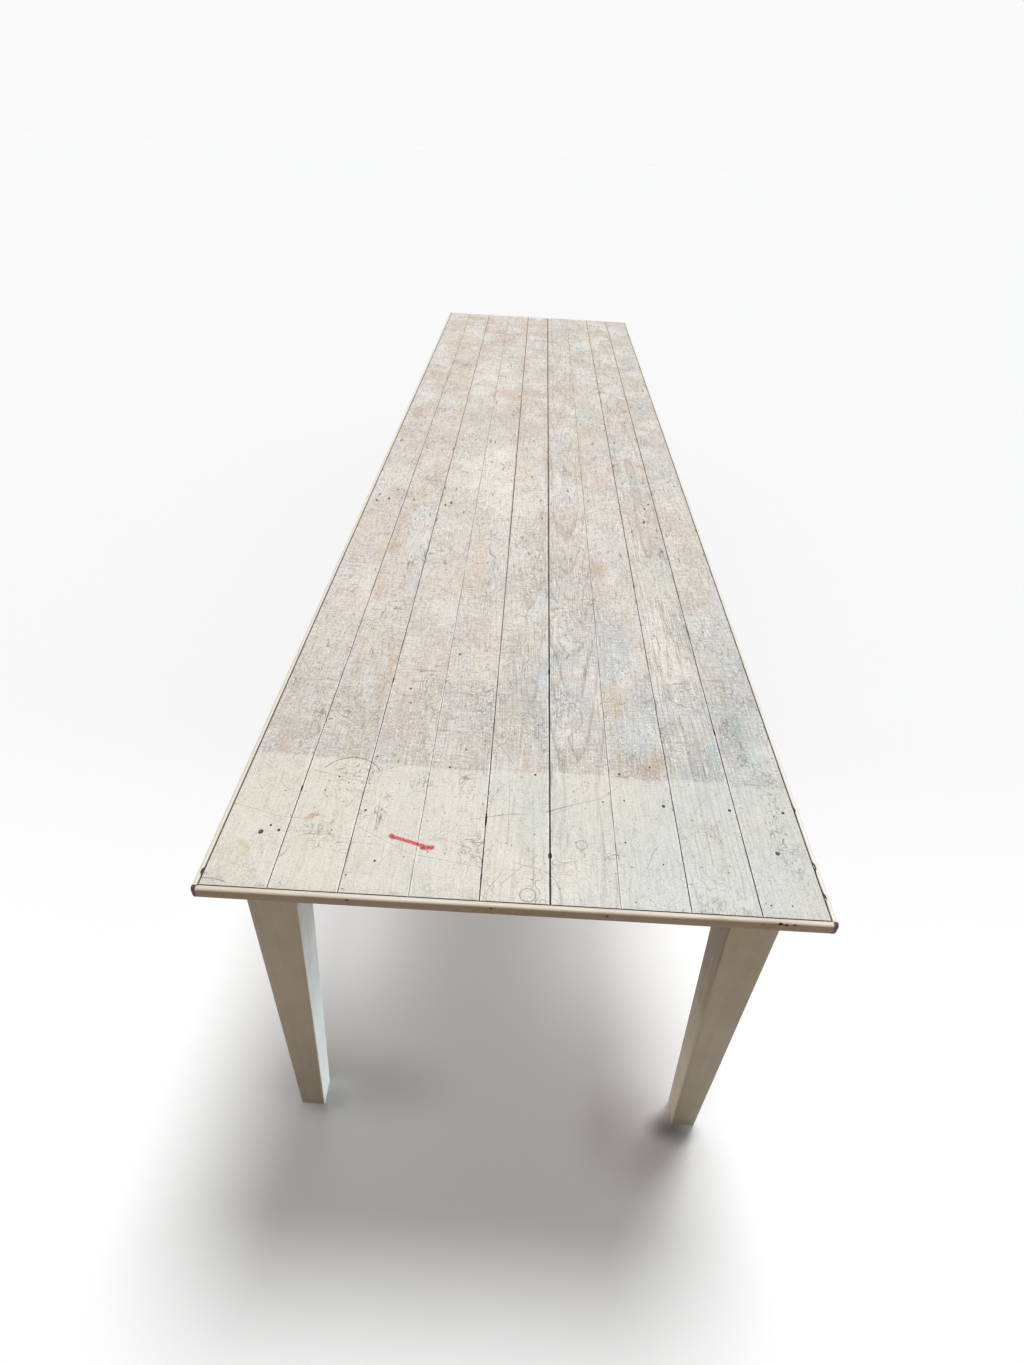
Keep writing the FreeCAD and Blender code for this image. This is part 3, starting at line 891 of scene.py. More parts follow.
    def marks(self, top: TopFields, marks: Sequence[Union[Scratch, Ring]]) -> Feed:
        """Draw a set of marks.

        Args:
            top: Shared values of the boards.
            marks: The marks.

        Returns:
            One mask of them all.
        """
        sketch = top.sketch
        whole: Feed = 0.0
        for mark in marks:
            feeds: Feeds = {"Vector": top.flat, "Width": mark.width}
            if isinstance(mark, Scratch):
                feeds.update({"Start": (*mark.start, 0.0), "End": (*mark.end, 0.0)})
                line = sketch.effect(Effects.stroke(), feeds).outputs["Mask"]
            else:
                feeds.update({"Middle": (mark.x, mark.y, 0.0), "Radius": mark.radius})
                line = sketch.effect(Effects.ring(), feeds).outputs["Mask"]
                line = sketch.times(line, sketch.math("GREATER_THAN", top.y, mark.from_y))
            whole = sketch.most(whole, sketch.times(line, mark.strength))
        return whole

    def ground(self, top: TopFields) -> Feed:
        """Lay the paint: cream at the near end, greyer and thinner where it is used, in patches of tints;
        pale patches add a painted sheen highlight.

        Args:
            top: Shared values of the boards.

        Returns:
            Colour of the paint.
        """
        sketch = top.sketch
        old = sketch.blend(top.warm, self.cool_grey, self.warm_grey)
        new = sketch.blend(top.warm, self.cool_cream, self.cream)
        base = sketch.blend(top.clean, old, new)
        wood = sketch.blend(sketch.ramp(top.fibre, 0.3, 0.7), self.worn, self.worn_deep)
        base = sketch.blend(sketch.times(top.worn, sketch.spread(top.warm, 0.20, 0.42)), base, wood)
        warmer = sketch.spread(top.warm, 0.15, 1.0)
        near_tints = (
            (1.0, self.rosy, 13.0, 5.5, 0.60, warmer),
            (2.0, self.sallow, 15.0, 6.5, 0.48, 1.0),
            (7.0, self.tan, 12.0, 5.0, 0.40, warmer),
            (14.0, self.icy, 14.0, 6.0, 0.55, 1.0),
            (3.0, self.residue, 12.0, 6.0, 0.70, 1.0))
        for number, tint, across, along, share, where in near_tints:
            patch = sketch.ramp(top.cloud(number, across, along, 3.0, 0.55), 0.52, 0.63)
            shown = sketch.spread(top.used, 0.15 * share, share)
            shown = sketch.plus(shown, sketch.times(top.beyond, 0.30 * share))
            base = sketch.blend(sketch.times(patch, where, shown), base, tint)
        far_tints = (
            (9.0, self.buff, 5.0, 2.4, 0.92),
            (10.0, self.residue, 5.0, 2.8, 0.66),
            (11.0, self.rosy, 7.0, 3.2, 0.72),
            (12.0, self.sallow, 8.0, 4.0, 0.45),
            (17.0, self.tan, 9.0, 5.0, 0.55),
            (18.0, self.buff, 11.0, 4.2, 0.62),
            (19.0, self.residue, 11.0, 4.6, 0.62))
        distant = sketch.most(top.far, sketch.times(top.beyond, 0.85))
        for number, tint, across, along, share in far_tints:
            patch = sketch.ramp(top.cloud(number, across, along, 4.0, 0.6, shared=True), 0.51, 0.59)
            base = sketch.blend(sketch.times(patch, distant, share), base, tint)
        chalky = sketch.times(top.beyond, sketch.spread(top.far, 0.22, 0.09))
        base = sketch.blend(chalky, base, self.chalk)
        darkened = sketch.times(top.used, sketch.ramp(top.y, -1.15, -1.46),
                               sketch.spread(top.warm, 0.14, 0.32))
        base = sketch.blend(darkened, base, self.soiled)
        edges = sketch.times(sketch.painted("beside"), top.far, 0.75, sketch.ramp(top.soft, 0.40, 0.60))
        base = sketch.blend(edges, base, self.tan)
        # Pale patches: paint that is still whole, and in the middle of the top a painted sheen highlight.
        whole_paint_and_sheen = sketch.times(sketch.painted("pale"), sketch.ramp(top.flake, 0.82, 0.50))
        return sketch.blend(whole_paint_and_sheen, base, self.bright)

    def weathered(self, top: TopFields, base: Feed) -> Feed:
        """Break the paint up: bands across, strands along the grain, flakes, growth rings and painted
        highlights along the joints.

        Args:
            top: Shared values of the boards.
            base: Colour so far.

        Returns:
            The weathered colour.
        """
        sketch = top.sketch
        grain = sketch.painted("grain")
        bands = sketch.times(top.used, sketch.spread(top.far, 0.06, 0.42))
        base = sketch.weather(base, top.cloud(6.0, 7.0, 24.0, 3.0, 0.55), self.buff, self.residue, bands)
        wiped = sketch.times(top.used, sketch.spread(top.far, 0.34, 0.0))
        base = sketch.weather(base, top.cloud(16.0, 44.0, 200.0, 3.0, 0.6), self.soiled, self.chalk, wiped)
        dense = sketch.ramp(top.cloud(5.0, 30.0, 12.0), 0.42, 0.60)
        strands = sketch.times(sketch.spread(dense, 0.26, 0.92), sketch.spread(top.used, 0.40, 1.0),
                               sketch.spread(grain, 0.42, 0.80))
        flaked = sketch.plus(sketch.spread(top.used, 0.14, 0.15), sketch.times(top.far, 0.22))
        busy = sketch.spread(sketch.ramp(top.cloud(15.0, 26.0, 11.0), 0.42, 0.58), 0.20, 1.2)
        busy = sketch.times(busy, sketch.spread(sketch.painted("pale"), 1.0, 0.55))
        nearer = sketch.minus(top.used, sketch.times(top.beyond, 0.8))
        middle = sketch.minus(top.beyond, sketch.times(top.far, 0.65))
        layers = (
            (top.cloud(4.0, 400.0, 17.0, 3.0), strands),
            (top.flake, flaked),
            (top.cloud(13.0, 350.0, 170.0, 2.0, 0.6), sketch.times(nearer, 0.36, busy)),
            (top.cloud(8.0, 230.0, 64.0, 3.0, 0.7), sketch.times(middle, 0.56, busy)),
            (top.grit, sketch.spread(top.used, 0.22, 0.24)))
        for value, share in layers:
            base = sketch.weather(base, value, self.fleck, self.chalk, share)
        feeds = {"Vector": sketch.vector("MULTIPLY", top.own, (1.0, 0.6, 1.0)), "Cells": 110.0, "Size": 0.20,
                 "Share": sketch.spread(dense, 0.02, 0.12)}
        flecks = sketch.effect(Effects.specks(flat=True), feeds).outputs["Mask"]
        base = sketch.blend(sketch.times(flecks, top.used, 0.85), base, self.chalk)
        shown = sketch.plus(sketch.spread(top.used, 0.36, 0.56), sketch.times(top.swirl, 0.30))
        shown = sketch.times(shown, sketch.spread(top.beyond, 1.0, 0.72))
        rings = sketch.times(top.lines, sketch.most(grain, top.swirl), shown)
        base = sketch.blend(rings, base, self.fleck)
        # Painted highlight: a thin pale line along the arrises of the joints.
        lip = sketch.times(sketch.painted("lip"), sketch.ramp(top.flake, 0.70, 0.42), 0.8)
        return sketch.blend(lip, base, self.chalk)

    def stained(self, top: TopFields, base: Feed) -> Feed:
        """Lay the stains over the paint: rusty and blue patches, spots and rings.

        Args:
            top: Shared values of the boards.
            base: Colour so far.

        Returns:
            The stained colour.
        """
        sketch = top.sketch
        patchy = sketch.times(sketch.minus(sketch.plus(top.soft, top.flake), 1.0), 0.9)
        stains = ((Stain.OCHRE, 0.08, 0.56, 0.46, self.ochre), (Stain.COOL, 0.10, 0.70, 0.8, self.cool))
        for kind, low, high, share, tint in stains:
            stain = sketch.painted(kind.value)
            shown = sketch.ramp(sketch.plus(stain, patchy), low, high)
            base = sketch.blend(sketch.times(shown, sketch.ramp(stain, 0.03, 0.2), share), base, tint)
        drawn = (
            (self.ochre_spots, sketch.ramp(top.grit, 0.34, 0.52), self.ochre),
            (self.sallow_rings, sketch.ramp(top.soft, 0.42, 0.58), self.sallow),
            (self.pale_rings, 1.0, self.residue))
        for marks, broken, tint in drawn:
            base = sketch.blend(sketch.times(self.marks(top, marks), broken), base, tint)
        return base

    def nicked(self, top: TopFields) -> Feed:
        """Scatter nicks and dents, small ones all over and long ones at the far end.

        Args:
            top: Shared values of the boards.

        Returns:
            Mask of the nicks.
        """
        sketch = top.sketch
        whole: Feed = 0.0
        sets = (
            ((1.0, 0.8, 1.0), 140.0, 0.22, 0.15, 1.0),
            ((0.42, 1.0, 1.0), 120.0, 0.18, 0.09, 1.0),
            ((1.0, 0.42, 1.0), 120.0, 0.18, 0.09, 1.0),
            ((1.0, 0.6, 1.0), 52.0, 0.10, 0.16, 1.0),
            ((1.0, 0.24, 1.0), 60.0, 0.24, 0.26, top.beyond))
        scattered = sketch.times(top.used, 0.016)
        for stretch, cells, size, crowded, shown in sets:
            feeds = {"Vector": sketch.vector("MULTIPLY", top.own, stretch), "Cells": cells, "Size": size,
                     "Share": sketch.plus(sketch.spread(top.crowd, 0.012, crowded), scattered)}
            nicks = sketch.effect(Effects.specks(flat=True), feeds).outputs["Mask"]
            whole = sketch.most(whole, sketch.times(nicks, shown))
        return whole

    def scratched(self, top: TopFields) -> Feed:
        """Draw long hairlines, curly crazing where nicks crowd the paint, and the single scratches.

        Args:
            top: Shared values of the boards.

        Returns:
            Mask of the scratches.
        """
        sketch = top.sketch
        feeds = {"Vector": top.flat, "Scale": 5.2, "Width": 0.0022}
        hair = sketch.effect(Effects.hairlines(), feeds).outputs["Mask"]
        crazed = sketch.most(top.crowd, sketch.spread(top.used, 0.32, 0.48))
        wider = sketch.spread(top.used, 1.0, 1.35)
        sets = (((1.0, 0.8, 1.0), 58.0, 0.022), ((1.0, 0.7, 1.0), 104.0, 0.032),
                ((1.0, 0.08, 1.0), 90.0, 0.012), ((0.12, 1.0, 1.0), 80.0, 0.014))
        for stretch, scale, width in sets:
            feeds = {"Vector": sketch.vector("MULTIPLY", top.own, stretch), "Scale": scale,
                     "Width": sketch.times(wider, width)}
            curls = sketch.effect(Effects.hairlines(), feeds).outputs["Mask"]
            hair = sketch.most(hair, sketch.times(curls, crazed))
        drawn = self.marks(top, [*self.scratches, *self.rings])
        drawn = sketch.times(drawn, sketch.ramp(top.grit, 0.28, 0.5))
        return sketch.most(sketch.times(hair, 0.75), drawn)

    def material(self) -> bpy.types.Material:
        """Build the finish.

        Returns:
            The material.
        """
        finish = Finish("top_paint")
        sketch = finish.sketch
        top = TopFields(sketch, self.knots)
        base = self.stained(top, self.weathered(top, self.ground(top)))
        nicks = self.nicked(top)
        base = sketch.blend(sketch.times(nicks, 0.66), base, self.bruise)
        scratches = self.scratched(top)
        base = sketch.blend(scratches, base, self.pencil)
        for marks, tint, low in ((self.red_stroke, self.red, 0.26), (self.red_ends, self.red_dark, 0.34)):
            drawn = sketch.times(self.marks(top, marks), sketch.ramp(top.grit, low, low + 0.2))
            base = sketch.blend(drawn, base, tint)
        brink = sketch.times(sketch.painted("brink"), sketch.spread(top.beyond, 0.0, 0.62))
        base = sketch.blend(brink, base, self.joint_stain)
        base = sketch.blend(sketch.most(sketch.painted("seam"), sketch.painted("pit")), base, self.dark)
        streaks = sketch.most(top.lines, sketch.ramp(top.fibre, 0.45, 0.8))
        raw = sketch.blend(streaks, self.pine, self.pine_dark)
        base = sketch.blend(sketch.painted("under"), base, raw)

        rough = sketch.plus(sketch.spread(top.worn, 0.46, 0.66), sketch.times(top.grit, 0.10))
        relief: Feed = 0.8
        sunken = ((top.worn, 0.15), (top.lines, 0.22), (top.flake, 0.4), (top.grit, 0.2), (scratches, 0.3),
                  (nicks, 0.3))
        for value, share in sunken:
            relief = sketch.minus(relief, sketch.times(value, share))
        return finish.close(base, rough, relief, self.relief_depth)


@dataclass(frozen=True)
class FramePaint:
    """Finish of the legs, rails and edging: brushed cream paint, rubbed through on the arrises, with painted
    shade where the mesh is marked darker.
    """

    cream: Colour = colour(230, 221, 202)
    shade: Colour = colour(217, 206, 185)
    rubbed: Colour = colour(172, 134, 92)
    bruise: Colour = colour(108, 68, 48)
    dark: Colour = colour(44, 33, 27)
    amber: Colour = colour(230, 215, 176)
    grime_and_shade: Colour = (0.69, 0.59, 0.52, 1.0)
    brush_mark: Colour = (0.93, 0.92, 0.90, 1.0)
    relief_depth: float = 0.0005

    def material(self, name: str, brushed: Point, speck_share: float) -> bpy.types.Material:
        """Build the finish.

        Args:
            name: Name of the material.
            brushed: Scale of the brush marks along X, Y and Z.
            speck_share: Share of the surface's cells that hold a dark speck.

        Returns:
            The material.
        """
        finish = Finish(name)
        sketch = finish.sketch
        place = sketch.place()
        brush = sketch.noise(sketch.vector("MULTIPLY", place, brushed), 1.0, 3.0, 0.55)
        cloud = sketch.noise(place, 9.0, 3.0)
        fine = sketch.noise(place, 240.0, 3.0, 0.6)
        base = sketch.blend(sketch.ramp(cloud, 0.35, 0.72), self.cream, self.shade)
        base = sketch.dimmed(sketch.ramp(brush, 0.35, 0.75), base, self.brush_mark)
        base = sketch.blend(sketch.times(sketch.painted("ambered"), 0.75), base, self.amber)
        patchy = sketch.times(sketch.minus(sketch.plus(cloud, brush), 1.0), 0.7)
        # Painted shade: the darkening painted into the mesh darkens high on the legs' inner faces and the
        # strips below their top; the cloudy part is dirt.
        grime_and_shade_mask = sketch.plus(sketch.painted("darkening"), patchy)
        base = sketch.dimmed(sketch.ramp(grime_and_shade_mask, 0.25, 0.85), base, self.grime_and_shade)
        ragged = sketch.times(sketch.minus(sketch.plus(cloud, fine), 1.0), 0.8)
        rubbed = sketch.ramp(sketch.plus(sketch.painted("arris"), ragged), 0.62, 0.86)
        base = sketch.blend(rubbed, base, self.rubbed)
        feeds = {"Vector": place, "Cells": 42.0, "Share": speck_share, "Size": 0.10}
        specks = sketch.effect(Effects.specks(), feeds).outputs["Mask"]
        base = sketch.blend(sketch.times(specks, 0.75), base, self.bruise)
        splintered = sketch.plus(sketch.painted("bruise"), sketch.times(sketch.minus(fine, 0.5), 0.9))
        wood = sketch.blend(sketch.ramp(fine, 0.45, 0.72), self.dark, self.bruise)
        base = sketch.blend(sketch.ramp(splintered, 0.42, 0.62), base, wood)
        base = sketch.blend(sketch.painted("seam"), base, self.dark)
        rough = sketch.plus(sketch.spread(rubbed, 0.40, 0.62), sketch.times(fine, 0.10))
        relief = sketch.plus(sketch.times(brush, 0.5), sketch.times(fine, 0.12))
        relief = sketch.minus(relief, sketch.times(rubbed, 0.3))
        return finish.close(base, rough, relief, self.relief_depth)


@dataclass(frozen=True)
class BareWood:
    """Finish of unpainted wood, sawn or cleft."""

    name: str
    early: Colour
    late: Colour
    rings: float
    pith: Point = (0.013, 0.0, -0.55)
    darkening: Colour = (0.82, 0.80, 0.77, 1.0)
    relief_depth: float = 0.0007

    def material(self, along: Point) -> bpy.types.Material:
        """Build the finish.

        Args:
            along: Turn in radians that lays the grain along the piece.

        Returns:
            The material.
        """
        finish = Finish(self.name)
        sketch = finish.sketch
        feeds = {"Vector": sketch.place(), "Location": self.pith, "Rotation": along}
        laid = sketch.node("ShaderNodeMapping", feeds).outputs[0]
        grain = sketch.effect(Effects.pine_grain(), {"Vector": laid, "Seed": 4.0, "Rings": self.rings})
        lines, fibre = grain.outputs["Lines"], grain.outputs["Fibre"]
        base = sketch.blend(sketch.most(lines, sketch.ramp(fibre, 0.5, 0.9)), self.early, self.late)
        cloud = sketch.noise(sketch.place(), 14.0, 3.0)
        base = sketch.dimmed(sketch.ramp(cloud, 0.3, 0.9), base, self.darkening)
        relief = sketch.minus(fibre, sketch.times(lines, 0.4))
        return finish.close(base, sketch.spread(fibre, 0.58, 0.86), relief, self.relief_depth)


@dataclass(frozen=True)
class Iron:
    """Finish of the brads and pins: dull iron with brown rust."""

    metal: Colour = colour(98, 92, 88)
    rust: Colour = colour(96, 58, 36)
    relief_depth: float = 0.0003

    def material(self) -> bpy.types.Material:
        """Build the finish.

        Returns:
            The material.
        """
        finish = Finish("iron_brad")
        sketch = finish.sketch
        cloud = sketch.noise(sketch.place(), 380.0, 4.0, 0.65)
        rusty = sketch.ramp(cloud, 0.42, 0.60)
        base = sketch.blend(rusty, self.metal, self.rust)
        rough = sketch.spread(rusty, 0.45, 0.85)
        return finish.close(base, rough, cloud, self.relief_depth, sketch.spread(rusty, 0.9, 0.1))


@dataclass
class BoardedTop:
    """Nine tongued and grooved boards, with open joints, rounded arrises, pits and splintered edges."""

    tongue_reach: float = 0.008
    tongue_height: float = 0.007
    groove_play: float = 0.0003
    arris: float = 0.0006
    end_arris: float = 0.0011
    side_arris: float = 0.0017
    lip: float = 0.0030
    rim: float = 0.00084
    groove_margin: float = 0.001
    face_margin: float = 0.002
    columns: int = 10
    rows: int = 179
    unevenness: float = 0.00022
    pit_depth: float = 0.0016
    splinter_depth: float = 0.003
    joint_reach: float = 0.0018
    end_reach: float = 0.0014
    dirt_depth: float = 0.0003
    pit_floor: float = 0.0040
    pit_dark: float = 0.0009
    beside_reach: float = 0.009
    underside: float = 0.0005
    stained_opening: float = 0.0011
    outer_joint: Joint = Joint(0.0008, 0.0008)
    boards: tuple[Board, ...] = (
        Board(-0.3, 0.004, 0.25, -1.527, 0.1), Board(0.055, -0.01, 0.25, -1.531, 0.9),
        Board(-0.08, 0.008, 0.2, -1.539, 0.5), Board(0.09, -0.006, 0.3, -1.543, 0.3),
        Board(0.012, 0.016, 0.55, -1.537, 0.5), Board(-0.006, -0.02, 1.0, -1.535, -0.1),
        Board(-0.07, 0.008, 0.35, -1.541, 0.3), Board(0.004, 0.022, 0.95, -1.538, -0.4),
        Board(0.12, -0.006, 0.4, -1.544, -0.7),
    )
    joints: tuple[Joint, ...] = (
        Joint(0.0009, 0.0003), Joint(0.0008, 0.0007), Joint(0.0003, 0.0003), Joint(0.001, 0.0012),
        Joint(0.0022, 0.0016), Joint(0.0003, 0.0003), Joint(0.0009, 0.0009), Joint(0.0011, 0.0009),
    )
    pits: tuple[Pit, ...] = (
        Pit(-0.3883, -1.6994, 0.0042), Pit(-0.3624, -1.6945, 0.0026), Pit(-0.377, -1.686, 0.002),
        Pit(-0.283, -1.6885, 0.0013), Pit(-0.2398, -1.6447, 0.0022), Pit(-0.208, -1.7419, 0.002),
        Pit(-0.2443, -1.77, 0.0013), Pit(-0.2961, -1.5747, 0.0015), Pit(-0.278, -1.5872, 0.0013),
        Pit(-0.3119, -1.6066, 0.0015), Pit(-0.2429, -1.5221, 0.0017), Pit(-0.1178, -1.538, 0.002),
        Pit(-0.0942, -1.492, 0.0016), Pit(0.2341, -1.5992, 0.003), Pit(0.1361, -1.5974, 0.0017),
        Pit(0.1711, -1.592, 0.0015), Pit(0.3409, -1.6, 0.0028), Pit(0.4276, -1.5989, 0.0027),
        Pit(0.411, -1.6075, 0.0014), Pit(0.3983, -1.684, 0.0036), Pit(0.0259, -1.5441, 0.0022),
        Pit(0.1679, -1.5308, 0.0022), Pit(0.2213, -1.5107, 0.002), Pit(0.1658, -1.6799, 0.0016),
        Pit(0.2195, -1.7183, 0.0014), Pit(0.3663, -1.7806, 0.0016), Pit(0.3968, -1.7793, 0.0013),
        Pit(-0.213, -1.332, 0.0024), Pit(-0.2072, -1.3745, 0.0022), Pit(-0.1305, -1.212, 0.003),
        Pit(-0.4222, -0.4678, 0.0027, 2.4), Pit(-0.4247, -0.5078, 0.0027, 2.4),
        Pit(-0.393, -0.4928, 0.0033, 2.6), Pit(-0.378, -0.4303, 0.0026, 2.4),
        Pit(-0.3247, -0.4903, 0.0027, 2.4), Pit(-0.2347, -0.5137, 0.0029, 2.4),
        Pit(-0.2197, -0.497, 0.0033, 2.6), Pit(0.0295, -0.447, 0.0022, 2.4),
        Pit(0.3195, -0.4662, 0.0027, 2.4), Pit(0.3337, -0.4345, 0.0026, 2.4),
        Pit(0.31, -0.55, 0.0034, 2.4), Pit(0.3337, -0.2828, 0.0024, 2.6),
        Pit(0.425, -0.2945, 0.0024, 2.6),
    )
    splinters: tuple[Splinter, ...] = (
        Splinter(3, -1.6498, 0.015, 0.0013), Splinter(3, -1.76, 0.008, 0.0008),
        Splinter(4, -1.714, 0.006, 0.0018), Splinter(4, -1.255, 0.01, 0.0012),
        Splinter(1, -1.31, 0.01, 0.001), Splinter(7, -1.41, 0.01, 0.001),
        Splinter(0, -1.605, 0.008, 0.001), Splinter(6, -0.9, 0.01, 0.0012),
    )
    patches: tuple[tuple[Stain, tuple[Patch, ...]], ...] = (
        (Stain.BARE, (
            Patch(-0.11, -0.945, 0.03, 0.06, 0.8), Patch(-0.01, -0.99, 0.03, 0.1, 0.7),
            Patch(-0.021, -1.197, 0.016, 0.05, 0.8), Patch(-0.41, -1.372, 0.035, 0.07, 0.8),
            Patch(-0.32, -1.39, 0.025, 0.05, 0.5), Patch(-0.4, -1.48, 0.05, 0.04, 0.6),
            Patch(-0.29, -1.49, 0.05, 0.035, 0.5), Patch(-0.1, -1.51, 0.05, 0.03, 0.5),
            Patch(0.311, -0.06, 0.04, 0.045, 0.7), Patch(-0.218, -0.795, 0.03, 0.07, 0.8),
            Patch(-0.08, -0.847, 0.028, 0.035, 0.8), Patch(0.195, -0.597, 0.045, 0.05, 0.9),
            Patch(-0.201, -0.1, 0.045, 0.06, 0.7), Patch(-0.393, -0.035, 0.05, 0.04, 0.6),
            Patch(-0.008, -0.585, 0.02, 0.12, 0.8), Patch(0.066, -0.545, 0.015, 0.15, 0.5),
            Patch(-0.201, -0.445, 0.03, 0.05, 0.5), Patch(0.07, 0.846, 0.018, 0.06, 0.7),
            Patch(0.061, 0.553, 0.014, 0.2, 0.6), Patch(-0.201, 0.186, 0.045, 0.1, 0.7),
            Patch(0.172, 0.553, 0.028, 0.08, 0.6), Patch(0.066, 1.035, 0.015, 0.06, 0.6),
            Patch(-0.026, 1.658, 0.03, 0.06, 0.6), Patch(-0.25, 1.2, 0.12, 0.5, 0.4),
            Patch(-0.34, 1.48, 0.09, 0.26, 0.8),
        )),
        (Stain.OCHRE, (
            Patch(0.072, -1.27, 0.012, 0.05, 0.35), Patch(0.178, -1.35, 0.024, 0.028, 0.6),
            Patch(0.228, -1.498, 0.028, 0.026, 0.6), Patch(-0.332, -0.954, 0.016, 0.06, 0.55),
            Patch(0.09, -1.183, 0.012, 0.02, 0.5), Patch(-0.13, -1.404, 0.02, 0.025, 0.3),
            Patch(0.366, -1.471, 0.012, 0.03, 0.4), Patch(0.008, -1.51, 0.008, 0.03, 0.6),
            Patch(0.057, -0.177, 0.015, 0.05, 0.6), Patch(0.169, -0.831, 0.03, 0.045, 0.6),
            Patch(-0.332, -0.627, 0.014, 0.06, 0.5), Patch(-0.335, -0.785, 0.014, 0.05, 0.5),
            Patch(-0.326, -0.345, 0.02, 0.03, 0.3), Patch(-0.301, 0.874, 0.035, 0.035, 0.6),
            Patch(-0.264, 0.541, 0.02, 0.03, 0.6), Patch(-0.41, 0.243, 0.02, 0.05, 0.5),
            Patch(-0.264, 1.618, 0.02, 0.04, 0.5), Patch(-0.122, 1.278, 0.03, 0.08, 0.3),
            Patch(-0.2, 1.5, 0.15, 0.3, 0.2), Patch(-0.141, -1.792, 0.012, 0.014, 0.4),
            Patch(-0.06, -1.792, 0.012, 0.014, 0.45),
        )),
        (Stain.COOL, (
            Patch(0.337, -1.464, 0.013, 0.026, 0.75), Patch(0.007, -1.145, 0.015, 0.02, 0.35),
            Patch(0.211, -1.145, 0.02, 0.03, 0.45), Patch(0.4, -1.38, 0.04, 0.1, 0.25),
            Patch(0.405, -1.51, 0.03, 0.05, 0.3),
        )),
        # Pale patches: paint that is still whole; those from Y -0.2 to -0.5 paint a sheen highlight in the
        # middle of the top.
        (Stain.PALE, (
            Patch(-0.1, -0.26, 0.05, 0.2, 1.0), Patch(-0.06, -0.5, 0.04, 0.15, 0.7),
            Patch(-0.17, -0.33, 0.06, 0.12, 0.7), Patch(-0.01, -0.38, 0.04, 0.12, 0.5),
            Patch(-0.35, -1.08, 0.04, 0.08, 0.5), Patch(-0.18, 0.7, 0.08, 0.22, 0.8),
            Patch(-0.36, -0.93, 0.05, 0.1, 0.6), Patch(-0.12, -0.2, 0.06, 0.12, 0.9),
            Patch(0.01, 0.98, 0.05, 0.06, 0.6), Patch(-0.08, -1.25, 0.04, 0.08, 0.5),
            Patch(0.28, -1.2, 0.05, 0.2, 0.5),
        )),
        (Stain.NICKS, (
            Patch(-0.3, -1.6, 0.06, 0.035, 1.0), Patch(-0.19, -1.535, 0.05, 0.02, 1.0),
            Patch(-0.33, -1.4, 0.035, 0.08, 1.0), Patch(-0.12, -1.46, 0.045, 0.06, 0.8),
            Patch(0.02, -1.43, 0.04, 0.08, 0.8), Patch(0.18, -1.47, 0.04, 0.05, 0.8),
            Patch(0.18, -1.25, 0.04, 0.08, 0.7), Patch(0.29, -1.44, 0.04, 0.05, 0.8),
            Patch(-0.36, -0.47, 0.06, 0.06, 0.8), Patch(-0.04, -0.33, 0.04, 0.12, 0.8),
            Patch(0.36, 0.62, 0.08, 0.15, 0.8),
        )),
    )

    def build(self, finish: bpy.types.Material) -> None:
        """Build all boards and dress them.

        Args:
            finish: Finish of the boards.
        """
        for number in range(1, len(self.boards) + 1):
            work = self.shape(number)
            self.wear(work, number)
            self.colour(work, number)
            work.hand_over(f"top_board_{number}", "top_paint", finish)

    def faces(self, number: int, far: bool) -> tuple[float, float]:
        """Give a board's left and right face at one end.

        Args:
            number: Number of the board, from 1 on the left.
            far: Whether the far end is meant.

        Returns:
            X of the left and of the right face.
        """
        low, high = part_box(f"top_board_{number}")
        left, right = low.x, high.x
        openings = [joint.far if far else joint.near for joint in self.joints]
        if number > 1:
            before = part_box(f"top_board_{number - 1}")[1].x - self.tongue_reach
            left = (before + low.x) / 2 + openings[number - 2] / 2
        if number < len(self.boards):
            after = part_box(f"top_board_{number + 1}")[0].x
            right = (high.x - self.tongue_reach + after) / 2 - openings[number - 1] / 2
        return left, right

    def shape(self, number: int) -> Workpiece:
        """Model one board: its section first, then its length, its arrises and the taper of its joints.

        Args:
            number: Number of the board.

        Returns:
            The board.
        """
        low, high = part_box(f"top_board_{number}")
        left, right = self.faces(number, far=False)
        far_left, far_right = self.faces(number, far=True)
        middle = (low.z + high.z) / 2
        half = self.tongue_height / 2
        upward, sideways = Vector((0.0, 0.0, 1.0)), Vector((1.0, 0.0, 0.0))
        start, end = Vector((left, low.y, low.z)), Vector((right, low.y, high.z))
        section = Workpiece.section(f"painted_board_{number}", start, end)
        for level in (middle - half, middle + half):
            section.cut(Vector((0.0, low.y, level)), upward)
        stops = [left + (right - left) * column / self.columns for column in range(1, self.columns)]
        for across in (left + self.lip, *stops, right - self.lip):
            section.cut(Vector((across, low.y, middle)), sideways)
        if number > 1:
            floor = left + self.tongue_reach + self.groove_play
            section.cut(Vector((floor, low.y, middle)), sideways)
            section.pick(Part.FACE, lambda place, normal: place.x < floor and abs(place.z - middle) < half)
            section.delete_faces()
        if number < len(self.boards):
            section.pick(Part.EDGE, lambda place, run: place.x > right - CLOSE
                         and abs(place.z - middle) < half / 2)
            section.extrude(sideways * self.tongue_reach)
        section.pick(Part.FACE, lambda place, normal: True)
        section.extrude(Vector((0.0, high.y - low.y, 0.0)))
        section.turn_outwards()
        for side, outer in ((left, number == 1), (right, number == len(self.boards))):
            section.pick(Part.EDGE, lambda place, run: abs(run.y) > RUNS and place.z > high.z - CLOSE
                         and abs(place.x - side) < CLOSE)
            section.bevel(self.side_arris if outer else self.arris, 2)
        beside = left + self.tongue_reach + self.groove_margin
        section.pick(Part.CORNER, lambda place, normal: place.y > high.y - CLOSE and place.x < beside)
        section.move(sideways * (far_left - left))
        section.pick(Part.CORNER, lambda place, normal: place.y > high.y - CLOSE
                     and place.x > right - self.face_margin)
        section.move(sideways * (far_right - right))
